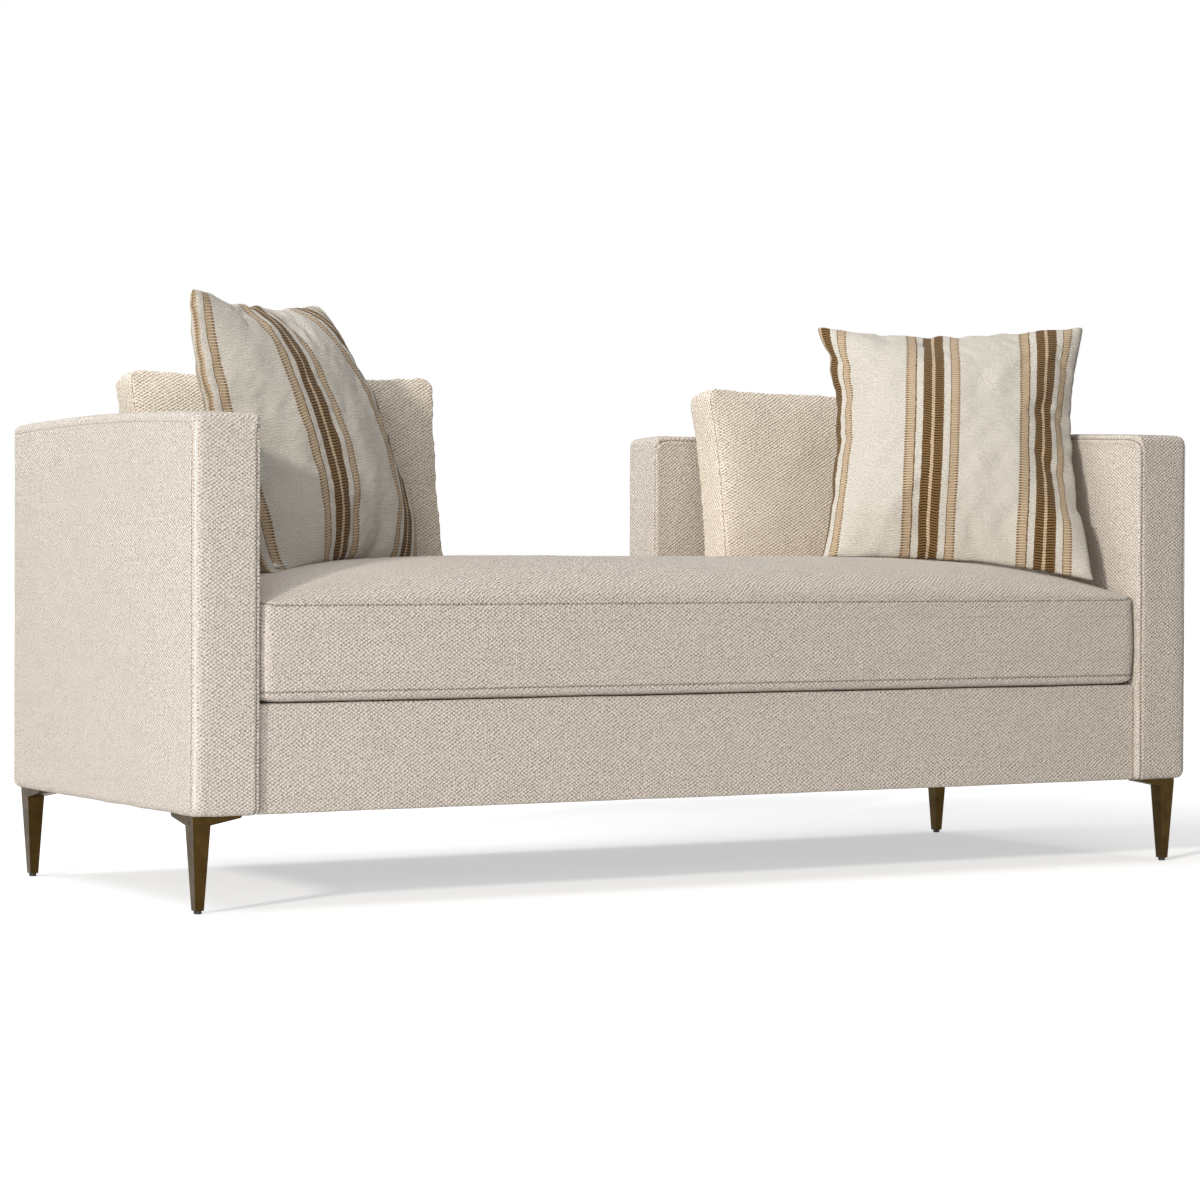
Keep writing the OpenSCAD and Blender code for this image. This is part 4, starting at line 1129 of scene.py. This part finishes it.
def pillow_sheets(name, cut, seed, shift, askew):
    """Two square sheets sewn together round their edges, their stripes cut off centre and askew.

    Gives the object, the places -1 to 1 across and up its sheets, and the back sheet's point for each
    of the front's."""
    count, lens_edge, lens_rise = 69, 6 * MM, 30 * MM
    line = np.linspace(-1, 1, count)
    u, v = (g.ravel() for g in np.meshgrid(line, line, indexing="ij"))
    inside = np.ones(len(u), bool)
    inside[rim(count, count)] = False
    flat = np.column_stack([u * cut / 2, v * cut / 2, np.zeros(len(u))])
    in_from_edge = 1 - np.maximum(np.abs(u), np.abs(v))
    near_edge = np.minimum(1, in_from_edge * 6)
    lens = lens_edge + lens_rise * (1 - u * u) * (1 - v * v)
    sheets = [flat.copy(), flat.copy()]
    for side, sheet in zip((1, -1), sheets):
        sheet[:, 2] = side * np.where(inside, lens + 6 * MM * near_edge * ripple(flat, 0.13, seed + side), 0)
    back = np.arange(len(u))
    back[inside] = len(u) + np.arange(inside.sum())
    quads = grid_quads(count, count, 0, False)
    quads += [tuple(int(back[k]) for k in quad[::-1]) for quad in quads]
    obj = new_object(name, np.vstack([sheets[0], sheets[1][inside]]), quads)
    flat[:, 0] += shift - askew * flat[:, 1]
    store(obj, "cloth", np.vstack([flat, flat[inside]]))
    both = lambda values: np.concatenate([values, values[inside]])
    # distance from the sewn edge in mm, which places the painted shade along it
    store(obj, "border", both(in_from_edge) * cut / 2 / MM)
    return obj, both(u), both(v), back


def measure_cloth(obj, back):
    """Measures the cloth places anew up each sheet, so that ribs keep their pitch where it is drawn down."""
    p, count = points_of(obj), math.isqrt(len(back))
    layer = obj.data.attributes["cloth"].data
    places = read(layer, "vector", 3, np.float32)
    front = np.arange(len(back))
    front_runs, back_runs = (runs_along(p[ids].reshape(count, count, 3)) for ids in (front, back))
    back_runs *= front_runs[:, -1:] / back_runs[:, -1:]
    for ids, runs in ((back, back_runs), (front, front_runs)):
        places[ids, 1] = (runs - runs[:, -1:]).ravel()
    layer.foreach_set("vector", places.ravel())


class SETTEE_OT_pillows(bpy.types.Operator):
    """Makes the two striped pillows, filled as cloth and settled into their corners"""

    bl_idname = "settee.pillows"
    bl_label = "Striped pillows"

    def execute(self, context):
        form, cloth = context.scene.settee_form, context.scene.settee_cloth
        material = striped_cotton(cloth)
        # yaw, lean and roll in degrees, then the seed, and how far the stripes are off centre and askew
        poses = {"left": (37.5, 21.5, 1.6, 41, 9 * MM, 0.0), "right": (-31.5, 27.5, -1.0, 57, 0.0, 0.04)}
        # how far the corners and the middles of the upright edges are pushed from a plain square, in mm
        spots = ((-1, 1), (1, 1), (-1, -1), (1, -1), (-1, 0), (1, 0))
        pushes = {
            "left": ((0, 0, 10), (-13, 8, 3), (-20, 12, -14), (7, -4, -10), (-34, 20, 0), (26, -14, 6)),
            "right": ((-8, 5, 4), (7, -4, 11), (-8, 5, 0), (9, -5, -9), (11, -7, 0), (-9, 6, 0)),
        }
        for side, (yaw, lean, roll, seed, shift, askew) in poses.items():
            name, cut = side + "_pillow_striped", form.pillow_side * SHEET_SHARE
            obj, u, v, back_ids = pillow_sheets(name, cut, seed, shift, askew)
            fill_cloth(obj, 6.0, 0.45)
            p = points_of(obj)
            size = p.max(0) - p.min(0)
            p *= np.array([form.pillow_side, form.pillow_side, form.pillow_fill]) / size
            near_edge = np.exp(-(1 - np.maximum(np.abs(u), np.abs(v))) * 12)
            gather = np.column_stack([ripple(p * [1, 1, 0.4], 0.05, seed + k) for k in (5, 6, 7)])
            p += gather * near_edge[:, None] * np.array([2.2, 2.2, 4]) * MM
            set_points(obj, p)
            smooth = obj.modifiers.new("Smooth", "SUBSURF")
            smooth.levels = smooth.render_levels = 1
            turn = turned(yaw, "Z") @ turned(-lean, "X") @ turned(-roll, "Y") @ turned(90, "X")
            place_like(obj, side + "_pillow_cover", turn)
            bpy.context.view_layer.update()
            back = np.array(obj.matrix_world.inverted())[:3, :3]
            p = points_of(obj)
            for (cu, cv), push in zip(spots, pushes[side]):
                if cv:
                    weight = (1 + cu * u) * (1 + cv * v) / 4
                else:
                    weight = ((1 + cu * u) / 2) ** 2 * (1 - v * v)
                p += weight[:, None] * (back @ (np.array(push) * MM))
            set_points(obj, p)
            drape(obj, bpy.data.objects["seat_cushion_boxed"], 80 * MM, np.clip(0.75 - v, 0, 1))
            names = ("seat_cushion_boxed", side + "_back_cushion_boxed", side + "_end_upholstery")
            settle(obj, [bpy.data.objects[n] for n in names])
            measure_cloth(obj, back_ids)
            if side == "left":
                store(obj, "pale", u < -0.8)
            body, case = side + "_pillow", pillow_case()
            fill_cover(obj, body + "_inner_case", case, 8 * MM, body, body + "_insert")
            bake(obj)
            finish_piece(obj, material, body, body + "_cover")
        return {"FINISHED"}


def ease_inner_corners(obj, size, least_angle=0.35):
    """Rounds the hollow corners of a casting, where its bracket meets its leg."""
    bm = bmesh.new()
    bm.from_mesh(obj.data)
    bmesh.ops.dissolve_limit(bm, angle_limit=math.radians(1), verts=bm.verts, edges=bm.edges)
    joins = (e for e in bm.edges if len(e.link_faces) == 2)
    hollow = [e for e in joins if not e.is_convex and e.calc_face_angle() > least_angle]
    bmesh.ops.bevel(
        bm,
        geom=hollow,
        offset=size,
        offset_type="OFFSET",
        segments=4,
        profile=0.5,
        affect="EDGES",
        clamp_overlap=True,
    )
    bm.to_mesh(obj.data)
    bm.free()


class SETTEE_OT_legs(bpy.types.Operator):
    """Makes the brass legs with softened edges that carry a painted highlight, and finishes their glides and
    screws
    """

    bl_idname = "settee.legs"
    bl_label = "Brass legs"

    def execute(self, context):
        form = context.scene.settee_form
        material, edge_highlight = antique_brass(), edge_highlight_brass()
        for where in ("front_left", "front_right", "back_left", "back_right"):
            mesh = frame["nodes"][where + "_leg"].data.copy()
            mesh.materials.clear()
            obj = add_object(where + "_leg_brass", mesh)
            weld(obj, 0.02 * MM)
            ease_inner_corners(obj, form.leg_fillet)
            shade(mesh, False)
            edge = obj.modifiers.new("Soft edges", "BEVEL")
            # the softened edges take the second slot: the brass with the painted highlight
            edge.material = 1
            edge.width = form.leg_edge
            edge.segments = 3
            edge.limit_method = "ANGLE"
            edge.angle_limit = math.radians(28)
            edge.harden_normals = True
            finish_piece(obj, material, "frame", where + "_leg")
            obj.data.materials.append(edge_highlight)
        dress("leg_glides", "moulded_black_nylon", "#141312", "#211f1e", (2, 2, 2), 0.45, 0.05)
        dress("leg_screws", "black_oxide_screw_steel", "#2a2725", "#45403b", (1, 1, 1), 0.45, 0.03, 1.0)
        return {"FINISHED"}


def dress(nodes, *stock):
    """Gives CAD nodes their stock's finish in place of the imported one."""
    material = plain_stock(*stock)
    for node in nodes.split():
        obj = frame["nodes"][node]
        for slot in obj.material_slots:
            slot.material = material
        if not obj.material_slots:
            obj.data.materials.append(material)


class SETTEE_OT_inside(bpy.types.Operator):
    """Finishes what the covers hide: timber, boards, springs, deck layers and wadding"""

    bl_idname = "settee.inside"
    bl_label = "Frame and fillings"

    def execute(self, context):
        oak, ends = ("#a88457", "#d0ae7e"), "left_{0} right_{0}"
        along_x = "front_rail back_rail spring_cleats " + ends.format("return_rails")
        along_y = "cross_braces " + ends.format("side_rails") + " " + ends.format("arm_top_rail")
        upright = "corner_blocks " + ends.format("end_posts")
        padding = "front_rail_padding back_rail_padding " + ends.format("end_padding")
        dress(along_x, "sawn_hardwood_lengthways", *oak, (60, 2.5, 2.5), 0.7, 0.3)
        dress(along_y, "sawn_hardwood_crossways", *oak, (2.5, 60, 2.5), 0.7, 0.3)
        dress(upright, "sawn_hardwood_upright", *oak, (2.5, 2.5, 60), 0.7, 0.3)
        dress("frame_dowels", "turned_beech_dowel", "#b98f5e", "#d9b688", (30, 1.5, 1.5), 0.6, 0.1)
        board = "pressed_fibreboard", "#7d6240", "#96784f"
        dress(ends.format("end_panels"), *board, (1.5, 1.5, 1.5), 0.65, 0.1)
        dress(padding, "bonded_polyester_wadding", "#dedad2", "#f4f2ee", (7, 7, 4), 1.0, 2.5)
        dress("seat_springs", "oiled_spring_wire", "#5c5f61", "#85898c", (2, 20, 2), 0.35, 0.05, 1.0)
        dress("spring_clips", "zinc_plated_clip_steel", "#9a9da0", "#bfc2c4", (3, 3, 3), 0.4, 0.05, 1.0)
        dress("deck_burlap", "jute_burlap", "#82683f", "#b3945f", (1.6, 2.2, 1), 1.0, 0.8)
        dress("deck_pad", "needled_deck_felt", "#cfcabf", "#e6e2d9", (3, 3, 3), 1.0, 0.8)
        dress("deck_cloth", "plain_deck_cotton", "#b5ae9f", "#ccc6b8", (1.2, 1.2, 1.2), 0.95, 0.4)
        dress("dust_cover", "black_spunbond_cloth", "#101010", "#1f1f1f", (1.4, 1.4, 1.4), 0.95, 0.3)
        return {"FINISHED"}


class SETTEE_OT_stage(bpy.types.Operator):
    """Sets the camera, the pale floor and the soft lights"""

    bl_idname = "settee.stage"
    bl_label = "Camera, floor and lights"

    def execute(self, context):
        scene, stage = context.scene, context.scene.settee_stage
        camera = add_object("camera", bpy.data.cameras.new("camera"))
        camera.data.lens = 102.885
        camera.data.sensor_width = 36.0
        camera.data.shift_y = -0.01725
        camera.data.clip_end = 60
        place = Matrix.Translation((-2.9698, -4.9674, 0.5442))
        camera.matrix_world = place @ turned(-30.609, "Z") @ turned(90 - 0.5634, "X") @ turned(0.2162, "Z")
        scene.camera = camera
        scene.view_settings.view_transform = "Standard"

        size = 30.0
        corners = [(-size, -size, 0), (size, -size, 0), (size, size, 0), (-size, size, 0)]
        floor = new_object("floor", corners, [(0, 1, 2, 3)])
        material, tree, shader = new_material("matt_white_studio_floor")
        tree.nodes.remove(shader)
        place = add_node(tree, "TexCoord").outputs["Object"]
        away = add_node(tree, "VectorMath", {0: place}, operation="LENGTH").outputs["Value"]
        far = spread(tree, away, 1.3, 3.0, 0.54, 1.0, interpolation_type="SMOOTHSTEP")
        glow_strength = calc(tree, "MULTIPLY", seen_or_mirrored(tree), far)
        matt = add_node(tree, "BsdfDiffuse", {"Color": [c * 0.94 for c in stage.backdrop]})
        glow = add_node(tree, "Emission", {"Color": stage.backdrop, "Strength": glow_strength})
        both = add_node(tree, "AddShader", {0: matt, 1: glow})
        set_inputs(tree, tree.nodes["Material Output"], {"Surface": both})
        floor.data.materials.append(material)

        world = bpy.data.worlds.new("studio")
        scene.world = world
        world.use_nodes = True
        tree = world.node_tree
        strength = calc(tree, "MULTIPLY_ADD", seen_or_mirrored(tree), 1 - stage.fill, stage.fill)
        set_inputs(tree, tree.nodes["Background"], {"Color": stage.backdrop, "Strength": strength})

        lamps = (
            ("key", "SUN", "#fffaf0", stage.key, math.radians(5), (-0.818, -0.460, 0.342), (0, 0, 0)),
            ("front", "AREA", "#fdfdff", stage.front, 1.6, (-2.6, -2.6, 0.7), (0, 0, 0.4)),
            ("top", "AREA", "#fffffe", stage.top, 3.0, (0, 0, 3.2), (0, 0, 0)),
            ("rim", "AREA", "#eff6ff", stage.rim, 1.5, (-1.8, 0.6, 2.4), (0, 0, 0.3)),
        )
        for name, kind, tint, power, width, place, aim in lamps:
            lamp = bpy.data.lights.new(name, kind)
            lamp.color = linear(tint)
            lamp.energy = power
            setattr(lamp, "angle" if kind == "SUN" else "size", width)
            obj = add_object(name, lamp)
            obj.location = place
            obj.rotation_euler = (Vector(aim) - Vector(place)).to_track_quat("-Z", "Y").to_euler()
        return {"FINISHED"}


class SETTEE_PT_panel(bpy.types.Panel):
    """Lists the settee's settings and the steps that make it"""

    bl_label = "Track-arm settee"
    bl_space_type = "VIEW_3D"
    bl_region_type = "UI"
    bl_category = "Settee"

    def draw(self, context):
        layout = self.layout
        for group in (context.scene.settee_stage, context.scene.settee_cloth, context.scene.settee_form):
            box = layout.box()
            for name in group.bl_rna.properties.keys():
                if name not in ("rna_type", "name"):
                    box.prop(group, name)
        for step in STEPS:
            layout.operator(step.bl_idname)


GROUPS = {"settee_stage": SetteeStage, "settee_cloth": SetteeCloth, "settee_form": SetteeForm}
STEPS = (
    SETTEE_OT_stage,
    SETTEE_OT_ends,
    SETTEE_OT_rails,
    SETTEE_OT_seat,
    SETTEE_OT_backs,
    SETTEE_OT_pillows,
    SETTEE_OT_legs,
    SETTEE_OT_inside,
)


def register():
    for name, group in GROUPS.items():
        bpy.utils.register_class(group)
        setattr(bpy.types.Scene, name, bpy.props.PointerProperty(type=group))
    for item in (*STEPS, SETTEE_PT_panel):
        bpy.utils.register_class(item)


def unregister():
    for item in reversed((*STEPS, SETTEE_PT_panel)):
        bpy.utils.unregister_class(item)
    for name, group in GROUPS.items():
        delattr(bpy.types.Scene, name)
        bpy.utils.unregister_class(group)


def main():
    register()
    for step in STEPS:
        family, name = step.bl_idname.split(".")
        getattr(getattr(bpy.ops, family), name)()


if __name__ == "__main__":
    main()
